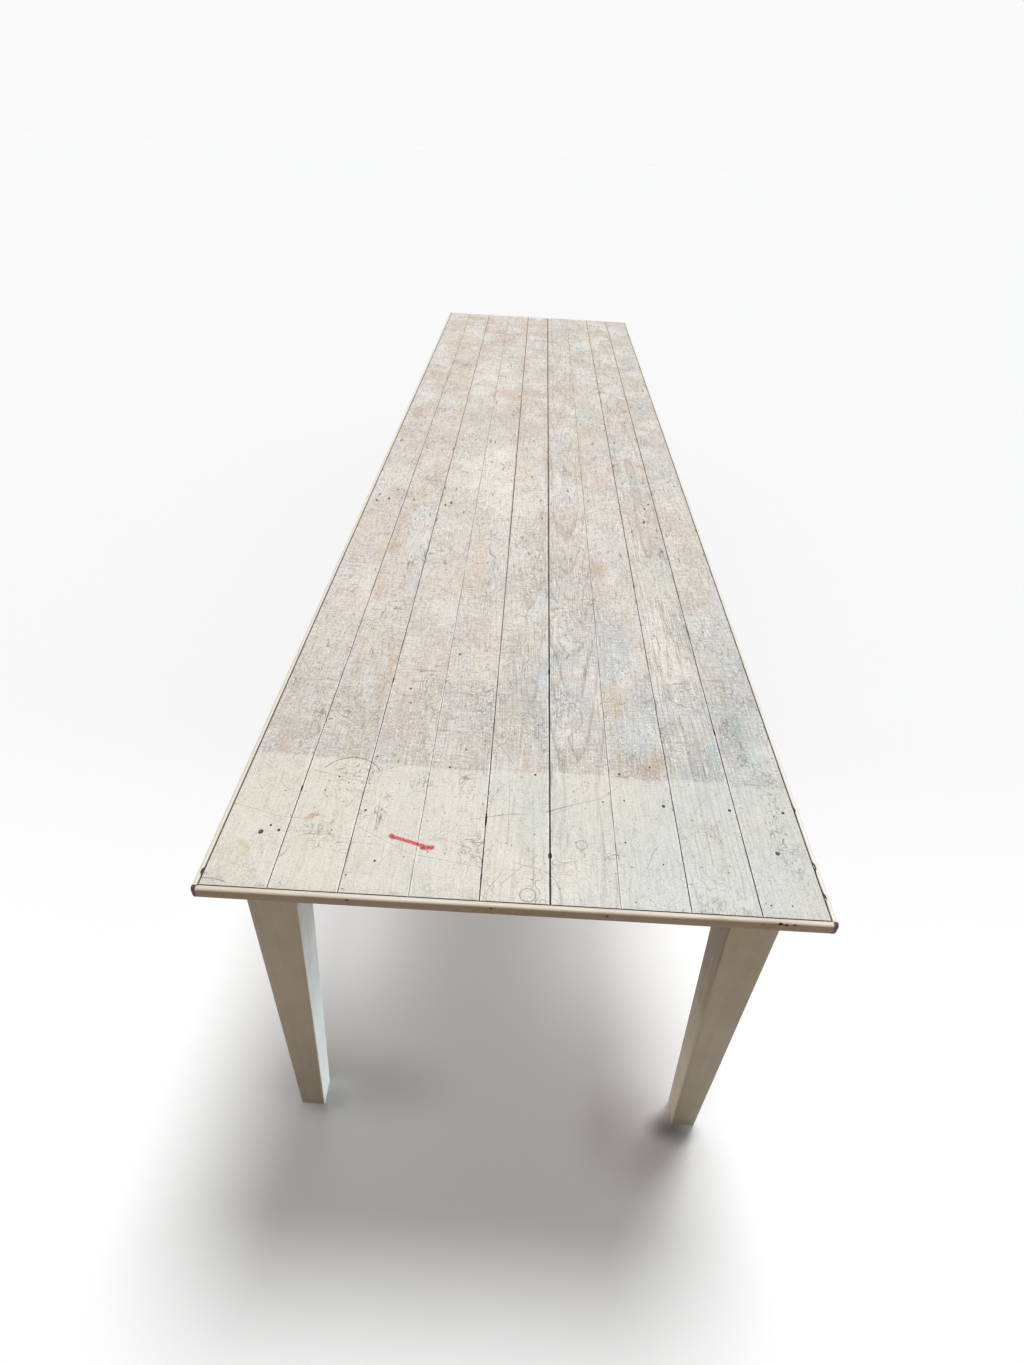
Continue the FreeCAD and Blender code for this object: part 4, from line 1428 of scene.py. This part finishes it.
        section.pick(Part.EDGE, lambda place, run: abs(run.y) > RUNS)
        section.subdivide(self.rows)
        section.pick(Part.CORNER, lambda place, normal: place.z > high.z - self.rim
                     and low.y < place.y < high.y and min(place.x - left, right - place.x) < self.rim)
        section.jitter(self.unevenness, number)
        section.pick(Part.EDGE, lambda place, run: abs(run.x) > RUNS and place.z > high.z - CLOSE
                     and min(place.y - low.y, high.y - place.y) < CLOSE)
        section.bevel(self.end_arris, 2)
        section.leave()
        return section

    def wear(self, work: Workpiece, number: int) -> None:
        """Cut the pits and the splintered edges of one board.

        Args:
            work: The board.
            number: Its number.
        """
        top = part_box(f"top_board_{number}")[1].z
        left, right = self.faces(number, far=False)
        chips = [Chip((pit.x, pit.y, top), (pit.radius, pit.radius * pit.length, self.pit_depth))
                 for pit in self.pits if left < pit.x < right]
        for splinter in self.splinters:
            if splinter.joint in (number - 1, number - 2):
                edge = right if splinter.joint == number - 1 else left
                reach = (splinter.width, splinter.length, self.splinter_depth)
                chips.append(Chip((edge, splinter.y, top), reach))
        work.bite([Workpiece.cutter(chip, count + number) for count, chip in enumerate(chips)])

    def colour(self, work: Workpiece, number: int) -> None:
        """Paint one board's attributes: what sets it apart, its patches, and the dirt in joints and pits.

        Args:
            work: The board.
            number: Its number.
        """
        low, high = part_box(f"top_board_{number}")
        left, right = self.faces(number, far=False)
        board = self.boards[number - 1]
        x, y, z = work.corners().T
        work.paint("seed", float(number))
        work.paint("heart", (left + right) / 2 + board.heart)
        for name in ("rise", "grain", "clean_end", "warmth"):
            work.paint(name, getattr(board, name))
        for stain, patches in self.patches:
            amount = np.zeros(len(x))
            for patch in patches:
                amount += patch.strength * np.exp(-((x - patch.x) / patch.across) ** 2
                                                  - ((y - patch.y) / patch.along) ** 2)
            work.paint(stain.value, np.clip(amount, 0.0, 1.0))
        depth = high.z - z
        from_side = np.minimum(np.abs(x - left), np.abs(x - right))
        in_joint = (from_side < self.joint_reach) | (x < left) | (x > right)
        in_joint |= np.minimum(y - low.y, high.y - y) < self.end_reach
        work.paint("seam", np.where(in_joint, np.clip(depth / self.dirt_depth, 0.0, 1.0), 0.0))
        work.paint("beside", np.exp(-from_side / self.beside_reach))
        openings = [self.outer_joint, *self.joints, self.outer_joint][number - 1:number + 1]
        brink = np.zeros(len(x))
        for side, joint in zip((left, right), openings):
            opening = joint.near + (joint.far - joint.near) * (y - low.y) / (high.y - low.y)
            near_it = np.clip(1.0 - np.abs(x - side) / self.lip, 0.0, 1.0)
            brink = np.maximum(brink, near_it * np.clip(opening / self.stained_opening, 0.0, 1.0))
        work.paint("brink", brink)
        inside = (depth > self.dirt_depth) & (depth < self.pit_floor) & ~in_joint
        work.paint("pit", np.where(inside, np.clip(depth / self.pit_dark, 0.0, 1.0), 0.0))
        work.paint("under", np.where(z < low.z + self.underside, 1.0, 0.0))
        # Painted highlight: the lip marks a thin band along each joint's arris that is lightened.
        work.paint("lip", np.where((depth < self.dirt_depth) & (from_side < self.lip / 2), 1.0, 0.0))


@dataclass
class HalfRoundEdging:
    """Rounded strips round the top; the end strips run across the corners and show bruised ends."""

    upper_round: float = 0.0044
    lower_round: float = 0.0060
    round_steps: int = 8
    groove: float = 0.0012
    side_groove: float = 0.0026
    pieces_along: int = 119
    end_round: float = 0.005
    end_steps: int = 5
    end_drop: float = 0.22
    bruised_end: float = 0.0095
    bruised_edge: float = 1.25
    margin: float = 1.2
    shade_start_drop: float = 0.0003
    shade_full_drop: float = 0.0020
    dirt_depth: float = 0.0003
    dent_from: float = 0.0002
    dent_depth: float = 0.0006
    rubbed_end: float = 0.52
    rubbed_side: float = 0.22
    darkened: float = 0.38
    darkened_from: float = -0.10
    darkened_over: float = 0.30
    amber_from: float = 0.45
    amber_over: float = 0.4
    side_shade: float = 0.4
    shading_angle: float = 40.0
    chips: tuple[tuple[str, Chip], ...] = (
        ("front", Chip((0.3735, -1.8085, 0.7572), (0.0040, 0.0022, 0.0020))),
        ("front", Chip((0.3815, -1.8090, 0.7560), (0.0026, 0.0020, 0.0024))),
        ("front", Chip((0.3930, -1.8085, 0.7570), (0.0026, 0.0018, 0.0016))),
        ("front", Chip((-0.0330, -1.8090, 0.7555), (0.0030, 0.0016, 0.0016))),
        ("front", Chip((0.1300, -1.8095, 0.7540), (0.0030, 0.0016, 0.0018))),
        ("front", Chip((-0.2350, -1.8090, 0.7560), (0.0040, 0.0016, 0.0014))),
        ("left", Chip((-0.4475, -1.7790, 0.7600), (0.0034, 0.0085, 0.0060), 14.0)),
        ("left", Chip((-0.4555, -1.3180, 0.7540), (0.0018, 0.0060, 0.0030))),
        ("left", Chip((-0.4555, -1.4300, 0.7550), (0.0018, 0.0050, 0.0030))),
        ("right", Chip((0.4490, -1.7050, 0.7600), (0.0022, 0.0080, 0.0040))),
        ("right", Chip((0.4490, -1.7600, 0.7600), (0.0022, 0.0060, 0.0040))),
        ("right", Chip((0.4485, -1.5900, 0.7600), (0.0020, 0.0050, 0.0040))),
    )

    def build(self, finishes: dict[str, bpy.types.Material]) -> None:
        """Build the four strips and dress them.

        Args:
            finishes: Finish of each strip by its side.
        """
        outward = {"left": (-1, 0, 0), "right": (1, 0, 0), "front": (0, -1, 0), "back": (0, 1, 0)}
        for side, facing in outward.items():
            out = Vector(facing)
            work = self.shape(side, out)
            work.bite([Workpiece.cutter(chip, number) for number, (where, chip) in enumerate(self.chips)
                       if where == side])
            self.colour(work, side, out)
            work.hand_over(f"edging_{side}", "edging_paint", finishes[side], self.shading_angle)

    def shape(self, side: str, out: Vector) -> Workpiece:
        """Model one strip: a lath that is rounded over at the front, wider below than above.

        Args:
            side: Side of the table.
            out: Direction that the strip faces.

        Returns:
            The strip.
        """
        low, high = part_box(f"edging_{side}")
        run = Vector((abs(out.y), abs(out.x), 0.0))
        projection = abs((high - low).dot(out))
        middle = (low + high) / 2
        rounded = self.end_round if out.y else 0.0
        rear = middle - out * projection / 2
        strip = Workpiece.block(f"painted_edging_{side}", low + run * rounded, high - run * rounded)
        for level, width in ((high.z, self.upper_round), (low.z, self.lower_round)):
            strip.pick(Part.EDGE, lambda place, way: abs(way.dot(run)) > STRAIGHT
                       and abs(place.z - level) < CLOSE
                       and (place - middle).dot(out) > projection / 2 - CLOSE)
            strip.bevel(width, self.round_steps)
        strip.pick(Part.EDGE, lambda place, way: abs(way.dot(run)) > STRAIGHT and place.z > high.z - CLOSE
                   and abs((place - rear).dot(out)) < CLOSE)
        strip.bevel(self.side_groove if out.x else self.groove, 2)
        strip.pick(Part.EDGE, lambda place, way: abs(way.dot(run)) > STRAIGHT)
        strip.subdivide(self.pieces_along)
        if rounded:
            for way in (-run, run):
                self.round_end(strip, rear, way, out, high - low)
        strip.turn_outwards()
        return strip

    def round_end(self, strip: Workpiece, rear: Vector, way: Vector, out: Vector, size: Vector) -> None:
        """Round one end of a strip off in plan, by drawing its end face out and in step by step.

        Args:
            strip: The strip, as long as its straight part.
            rear: Middle of its back.
            way: Direction from there to the end.
            out: Direction that the strip faces.
            size: Size of the whole strip along X, Y and Z.
        """
        length, projection = abs(size.dot(way)), abs(size.dot(out))
        reached = length / 2 - self.end_round
        width = projection
        height = 1.0
        for step in range(1, self.end_steps + 1):
            angle = math.pi / 2 * step / self.end_steps
            reach = length / 2 - self.end_round * (1.0 - math.sin(angle))
            narrowed = projection - self.end_round * (1.0 - math.cos(angle))
            strip.pick(Part.FACE, lambda place, normal: abs((place - rear).dot(way) - reached) < CLOSE)
            strip.extrude(way * (reach - reached))
            shrink = Vector((1.0, 1.0, 1.0)) - Vector(map(abs, out)) * (1.0 - narrowed / width)
            lowered = 1.0 - self.end_drop * (1.0 - math.cos(angle))
            shrink.z = lowered / height
            strip.resize(shrink, rear)
            reached, width, height = reach, narrowed, lowered

    def colour(self, work: Workpiece, side: str, out: Vector) -> None:
        """Paint one strip's attributes: the dark line behind it, its bruised ends, its chips, and the painted
        shade, with some dirt, that darkens it below its top.

        Args:
            work: The strip.
            side: Side of the table.
            out: Direction that the strip faces.
        """
        low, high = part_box(f"edging_{side}")
        places = work.corners()
        x, z = places[:, 0], places[:, 2]
        reach = places @ np.array(out)
        projection = abs((high - low).dot(out))
        front = reach - (reach.max() - projection)
        groove = self.side_groove if out.x else self.groove
        behind = front < groove * 1.05
        work.paint("seam", np.where(behind, np.clip((high.z - z) / self.dirt_depth, 0.0, 1.0), 0.0))

        over = np.hypot(np.maximum(front - projection + self.upper_round, 0.0),
                        np.maximum(z - high.z + self.upper_round, 0.0)) - self.upper_round
        below = np.hypot(np.maximum(front - projection + self.lower_round, 0.0),
                         np.maximum(low.z + self.lower_round - z, 0.0)) - self.lower_round
        sunken = np.clip((-np.maximum(over, below) - self.dent_from) / self.dent_depth, 0.0, 1.0)
        bruise = np.where(front > groove * self.margin, sunken, 0.0)
        if out.y:
            from_end = (high.x - low.x) / 2 - np.abs(x - (low.x + high.x) / 2)
            worn_end = np.clip(self.bruised_edge - from_end / self.bruised_end, 0.0, 1.0)
            within = from_end > self.end_round * self.margin
            bruise = np.where(within, np.maximum(bruise, worn_end), worn_end)
        work.paint("bruise", bruise)

        rubbed = self.rubbed_end if out.y else self.rubbed_side
        work.paint("arris", np.clip(front / projection, 0.0, 1.0) * rubbed)
        # Painted shade with some dirt: darker from just below the top of the strip downwards, less on the
        # side strips.
        darkening = np.clip((high.z - z - self.shade_start_drop) / self.shade_full_drop, 0.0, 1.0)
        # The end strips grow darker towards the right.
        darkened = self.darkened * np.clip((x - self.darkened_from) / self.darkened_over, 0.0, 1.0)
        darkening = np.maximum(darkening, darkened) if out.y else self.side_shade * darkening
        work.paint("darkening", np.where(behind, 0.0, darkening))
        # Amber towards the outer side of the left strip.
        ambered = np.clip((front / projection - self.amber_from) / self.amber_over, 0.0, 1.0)
        work.paint("ambered", ambered if out.x < 0 else 0.0)


@dataclass
class TaperedLegs:
    """Four square legs, plain at the top and tapered on their two inner faces down to the foot."""

    foot: float = 0.0465
    block_below: float = 0.651
    arris: float = 0.0018
    foot_arris: float = 0.0030
    rows: int = 30
    columns: int = 9
    rub_reach: float = 0.0035
    scuff_reach: float = 0.012
    rubbed: float = 0.62
    shade_from: float = 0.30
    shade_rise: float = 0.35
    shade_left: float = 0.35
    shade_right: float = 1.10

    def build(self, finish: bpy.types.Material) -> list[bpy.types.Object]:
        """Build the four legs and dress them.

        Args:
            finish: Finish of the legs.

        Returns:
            The legs.
        """
        legs = []
        for end in ("front", "back"):
            for side in ("left", "right"):
                node = f"leg_{end}_{side}"
                work = self.shape(node)
                self.colour(work, node)
                work.hand_over(node, "frame_paint", finish)
                legs.append(work.thing)
        return legs

    def inward(self, node: str) -> Vector:
        """Give the direction from a leg to the middle of the table, in steps of one along X and Y."""
        middle = sum(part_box(node), Vector()) / 2
        return Vector((-math.copysign(1.0, middle.x), -math.copysign(1.0, middle.y), 0.0))

    def shape(self, node: str) -> Workpiece:
        """Model one leg.

        Args:
            node: Name of the leg.

        Returns:
            The leg.
        """
        low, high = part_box(node)
        inward = self.inward(node)
        middle = (low + high) / 2
        leg = Workpiece.block(node.replace("leg", "painted_leg"), low, high)
        leg.cut(Vector((middle.x, middle.y, self.block_below)), Vector((0.0, 0.0, 1.0)))
        drawn_in = (high.x - low.x) - self.foot
        for axis in (0, 1):
            step = Vector((0.0, 0.0, 0.0))
            step[axis] = -inward[axis] * drawn_in
            leg.pick(Part.CORNER, lambda place, normal: place.z < low.z + CLOSE
                     and (place[axis] - middle[axis]) * inward[axis] > 0.0)
            leg.move(step)
        leg.pick(Part.EDGE, lambda place, run: abs(run.z) > RUNS)
        leg.bevel(self.arris, 3)
        leg.pick(Part.EDGE, lambda place, run: place.z < low.z + CLOSE)
        leg.bevel(self.foot_arris, 2)
        leg.pick(Part.EDGE, lambda place, run: max(abs(run.x), abs(run.y)) > STRAIGHT)
        leg.subdivide(self.columns)
        leg.pick(Part.EDGE, lambda place, run: abs(run.z) > RUNS)
        leg.subdivide(self.rows)
        leg.leave()
        return leg

    def colour(self, work: Workpiece, node: str) -> None:
        """Paint how near each corner of the mesh is to an arris or to the worn foot, and the painted shade
        high on the inner faces.

        Args:
            work: The leg.
            node: Its name.
        """
        low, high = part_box(node)
        inward = self.inward(node)
        places = work.corners()
        z = places[:, 2]
        width = self.foot + (high.x - low.x - self.foot) * np.clip(z / self.block_below, 0.0, 1.0)
        outer = [low[axis] if inward[axis] > 0 else high[axis] for axis in (0, 1)]
        from_outer = [np.abs(places[:, axis] - outer[axis]) for axis in (0, 1)]
        gaps = [np.minimum(reach, np.abs(width - reach)) for reach in from_outer]
        # With the pale colour that the legs get, these rubbed places are worn paint and a painted highlight
        # on the arrises and foot.
        worn = np.exp(-np.maximum(*gaps) / self.rub_reach) + np.exp(-z / self.scuff_reach)
        work.paint("arris", np.clip(self.rubbed * worn, 0.0, 1.0))
        # Painted shade: the inner faces darken towards the top, under the table top, more on the right legs.
        inner = np.clip((from_outer[0] - width + self.arris) / self.arris, 0.0, 1.0)
        higher = np.clip((z - self.shade_from) / self.shade_rise, 0.0, 1.0)
        work.paint("darkening", inner * higher * (self.shade_right if inward.x < 0 else self.shade_left))


@dataclass
class Underframe:
    """Rails, bearers, pegs, brads and pins, which keep their solids and get finishes."""

    def dress(self, finishes: dict[str, bpy.types.Material]) -> None:
        """Put the finishes on the solids.

        Args:
            finishes: Finish for each node, by the first word or words of its name.
        """
        for name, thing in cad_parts.items():
            for start, finish in finishes.items():
                if name.startswith(start):
                    for slot in thing.material_slots:
                        slot.material = finish
                    LOG.info("%s keeps its solid and gets %s", name, finish.name)


@dataclass
class Studio:
    """Pale floor, soft light mostly from above and behind, and the camera."""

    eye: Point = (-0.0204, -2.4546, 1.6548)
    aim: Point = (-0.0222, -1.2953, 0.7600)
    roll: float = 3.25
    lens: float = 19.96
    sensor: float = 36.0
    sight: float = 200.0
    floor_reach: float = 60.0
    floor_lift: float = 0.122
    floor_glow: Colour = (0.92, 1.0, 1.08, 1.0)
    floor_bounce: Colour = (0.215, 0.148, 0.082, 1.0)
    # Painted shadows under the front of the table: the floor's glow is taken down within these patches.
    shaded: tuple[Patch, ...] = (
        Patch(-0.300, -1.715, 0.260, 0.110, 0.85), Patch(0.290, -1.790, 0.170, 0.150, 0.90),
    )
    # Painted contact shadows at the front feet: they darken the floor's colour and take down its glow.
    contact_shadows: tuple[Patch, ...] = (
        Patch(-0.352, -1.752, 0.066, 0.044, 0.36), Patch(0.356, -1.774, 0.070, 0.044, 0.66),
    )
    sky_fill: float = 0.28
    sky_colour: Colour = (1.0, 0.95, 0.89, 1.0)
    backdrop: float = 0.947
    key_strength: float = 2.40
    key_colour: Point = (0.99, 1.0, 1.01)
    key_angle: float = 22.0
    key_at: Point = (0.0, 0.0, 4.0)
    key_turn: Point = (-21.0, 7.2, 0.0)
    lamps: tuple[Lamp, ...] = (
        Lamp(Target.FRAME, "cool_side", 185.0, (0.50, 0.71, 0.98), (2.4, 0.5), (3.2, -0.6, 0.10), 90.0),
        Lamp(Target.FRAME, "cool_foot", 0.95, (0.62, 0.80, 1.0), (0.24, 0.10), (-0.06, -1.74, 0.05), 90.0),
        Lamp(Target.FRAME, "warm_foot", 0.24, (1.0, 0.90, 0.74), (0.24, 0.10), (0.08, -1.74, 0.05), -90.0),
        Lamp(Target.FLOOR, "pool_left", 0.34, (1.0, 1.0, 1.0), (0.12, 0.60), (-0.39, -1.24, 0.20), 0.0),
        Lamp(Target.FLOOR, "pool_right", 0.40, (1.0, 1.0, 1.0), (0.15, 0.60), (0.27, -1.22, 0.24), 0.0),
    )

    def build(self, members: Sequence[bpy.types.Object]) -> None:
        """Set up the whole studio.

        Args:
            members: Legs and rails, which the light from the side falls on.
        """
        bpy.context.scene.view_settings.view_transform = "Standard"
        floor = self.lay_floor()
        self.light()
        self.light_targets({Target.FRAME: members, Target.FLOOR: [floor]})
        self.set_camera()

    def lay_floor(self) -> bpy.types.Object:
        """Lay a floor that looks white to the camera and throws little light back; a faint glow lifts its
        shadows, and shadows are painted under the front of the table and at its feet.

        Returns:
            The floor.
        """
        bpy.ops.object.select_all(action="DESELECT")
        bpy.ops.mesh.primitive_plane_add(size=self.floor_reach)
        floor = bpy.context.active_object
        floor.name = "floor"
        material = bpy.data.materials.new("floor")
        material.use_nodes = True
        sketch = NodeSketch(material.node_tree)
        place = sketch.place()
        away = sketch.ramp(sketch.split(place)[1], -1.7, -0.5)
        white = sketch.blend(away, colour(247, 247, 247), colour(237, 237, 237))
        white = sketch.blend(sketch.times(sketch.noise(place, 1.2, 3.0), 0.1), white, colour(240, 240, 240))
        # Painted contact shadows: the floor's colour darkens towards near black at the front feet.
        white = sketch.blend(self.openness(sketch, place, self.contact_shadows), colour(20, 20, 20), white)
        seen = sketch.node("ShaderNodeBsdfDiffuse", {"Color": white})
        # Painted shadows: the glow that lifts the floor is taken down in the shadow patches and at the feet.
        strength = sketch.times(self.openness(sketch, place, (*self.shaded, *self.contact_shadows)), self.floor_lift)
        lift = sketch.node("ShaderNodeEmission", {"Color": self.floor_glow, "Strength": strength})
        both = sketch.node("ShaderNodeAddShader", {0: seen.outputs[0], 1: lift.outputs[0]})
        bounce = sketch.node("ShaderNodeBsdfDiffuse", {"Color": self.floor_bounce})
        feeds = {0: sketch.direct(), 1: bounce.outputs[0], 2: both.outputs[0]}
        mixed = sketch.node("ShaderNodeMixShader", feeds)
        sketch.node("ShaderNodeOutputMaterial", {"Surface": mixed.outputs[0]})
        floor.data.materials.append(material)
        return floor

    def openness(self, sketch: NodeSketch, place: Feed, patches: Sequence[Patch]) -> Feed:
        """Give 1 away from the feet, and less within soft oval patches there that paint shadows on the floor.

        Args:
            sketch: Tree to draw in.
            place: Place on the floor.
            patches: The patches.

        Returns:
            The openness.
        """
        whole: Feed = 1.0
        for patch in patches:
            gap = sketch.oval(place, patch.x, patch.y, patch.across, patch.along)
            hidden = sketch.times(sketch.ramp(gap, 1.0, 0.0), patch.strength)
            whole = sketch.times(whole, sketch.minus(1.0, hidden))
        return whole

    def light(self) -> None:
        """Set the even sky and the soft key light."""
        world = bpy.data.worlds.new("studio")
        bpy.context.scene.world = world
        world.use_nodes = True
        sketch = NodeSketch(world.node_tree)
        white = (1.0, 1.0, 1.0, 1.0)
        shown = sketch.node("ShaderNodeBackground", {"Color": white, "Strength": self.backdrop})
        fill = sketch.node("ShaderNodeBackground", {"Color": self.sky_colour, "Strength": self.sky_fill})
        feeds = {0: sketch.direct(), 1: fill.outputs[0], 2: shown.outputs[0]}
        mixed = sketch.node("ShaderNodeMixShader", feeds)
        sketch.node("ShaderNodeOutputWorld", {"Surface": mixed.outputs[0]})

        key = bpy.data.lights.new("key", "SUN")
        key.energy = self.key_strength
        key.color = self.key_colour
        key.angle = math.radians(self.key_angle)
        self.hang(key, self.key_at, self.key_turn)

    def light_targets(self, targets: dict[Target, Sequence[bpy.types.Object]]) -> None:
        """Set the lamps that fall on one target only: legs and rails from the side, the floor from above.

        Args:
            targets: The objects of each target.
        """
        lit = {}
        for target, things in targets.items():
            lit[target] = bpy.data.collections.new(f"lit_{target.value}")
            for thing in things:
                lit[target].objects.link(thing)
        for lamp in self.lamps:
            data = bpy.data.lights.new(lamp.name, "AREA")
            data.shape = "RECTANGLE"
            data.size, data.size_y = lamp.size
            data.energy = lamp.energy
            data.color = lamp.tint
            hung = self.hang(data, lamp.at, (0.0, lamp.turn, 0.0))
            hung.visible_camera = False
            hung.light_linking.receiver_collection = lit[lamp.target]

    def hang(self, lamp: bpy.types.Light, at: Point, turn: Point) -> bpy.types.Object:
        """Put a lamp in its place, turned by degrees about X, Y and Z.

        Args:
            lamp: The lamp.
            at: Its place.
            turn: Its turn about X, Y and Z.

        Returns:
            The object that holds it.
        """
        hung = bpy.data.objects.new(lamp.name, lamp)
        hung.location = at
        hung.rotation_euler = [math.radians(angle) for angle in turn]
        bpy.context.scene.collection.objects.link(hung)
        return hung

    def set_camera(self) -> None:
        """Stand the camera where the view is taken from."""
        data = bpy.data.cameras.new("camera")
        data.lens = self.lens
        data.sensor_width = self.sensor
        data.clip_end = self.sight
        camera = bpy.data.objects.new("camera", data)
        eye, aim = Vector(self.eye), Vector(self.aim)
        ahead = (aim - eye).normalized()
        level = ahead.cross(Vector((0.0, 0.0, 1.0))).normalized()
        above = level.cross(ahead)
        tilt = math.radians(self.roll)
        right = math.cos(tilt) * level + math.sin(tilt) * above
        up = right.cross(ahead)
        turn = Matrix((right, up, -ahead)).transposed()
        camera.matrix_world = Matrix.Translation(eye) @ turn.to_4x4()
        bpy.context.scene.collection.objects.link(camera)
        bpy.context.scene.camera = camera


def main() -> None:
    """Build the pieces in order."""
    logging.basicConfig(level=logging.INFO, format="%(name)s: %(message)s")
    brushed_across = (7.0, 160.0, 160.0)
    brushed_along = (160.0, 7.0, 160.0)
    brushed_upright = (130.0, 130.0, 6.0)
    # The legs' rubbed colour is pale: worn paint, and a painted highlight where the arrises and the foot
    # catch light.
    paint = FramePaint(rubbed=colour(240, 230, 208))
    edging = FramePaint(cream=colour(231, 222, 206), shade=colour(221, 210, 192))
    # Lit copies of the edging paint: painted light makes the left strip paler and the right one near white,
    # where their rounding catches the light.
    lit_left_strip_paint = FramePaint(cream=colour(241, 234, 218), shade=colour(234, 224, 204))
    lit_right_strip_paint = FramePaint(cream=colour(248, 245, 238), shade=colour(240, 235, 224))
    ends = edging.material("edging_paint_across", brushed_across, 0.06)
    strips = {"front": ends, "back": ends, "left": lit_left_strip_paint.material("edging_paint_left", brushed_along, 0.06),
              "right": lit_right_strip_paint.material("edging_paint_right", brushed_along, 0.06)}
    across = paint.material("frame_paint_across", brushed_across, 0.03)
    along = paint.material("frame_paint_along", brushed_along, 0.03)
    upright = paint.material("frame_paint_upright", brushed_upright, 0.035)
    rails = {"rail_left": along, "rail_right": along, "rail_front": across, "rail_back": across}
    pine = BareWood("bare_pine", colour(205, 172, 124), colour(166, 124, 80), 210.0)
    iron = Iron().material()
    BoardedTop().build(TopPaint().material())
    HalfRoundEdging().build(strips)
    legs = TaperedLegs().build(upright)
    Studio().build([*legs, *(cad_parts[name] for name in rails)])
    Underframe().dress({**rails, "bearer": pine.material((0.0, 0.0, math.pi / 2)), "joint_pegs": upright,
                        "board_nails": iron, "edging_pins": iron})


if __name__ == "__main__":
    main()
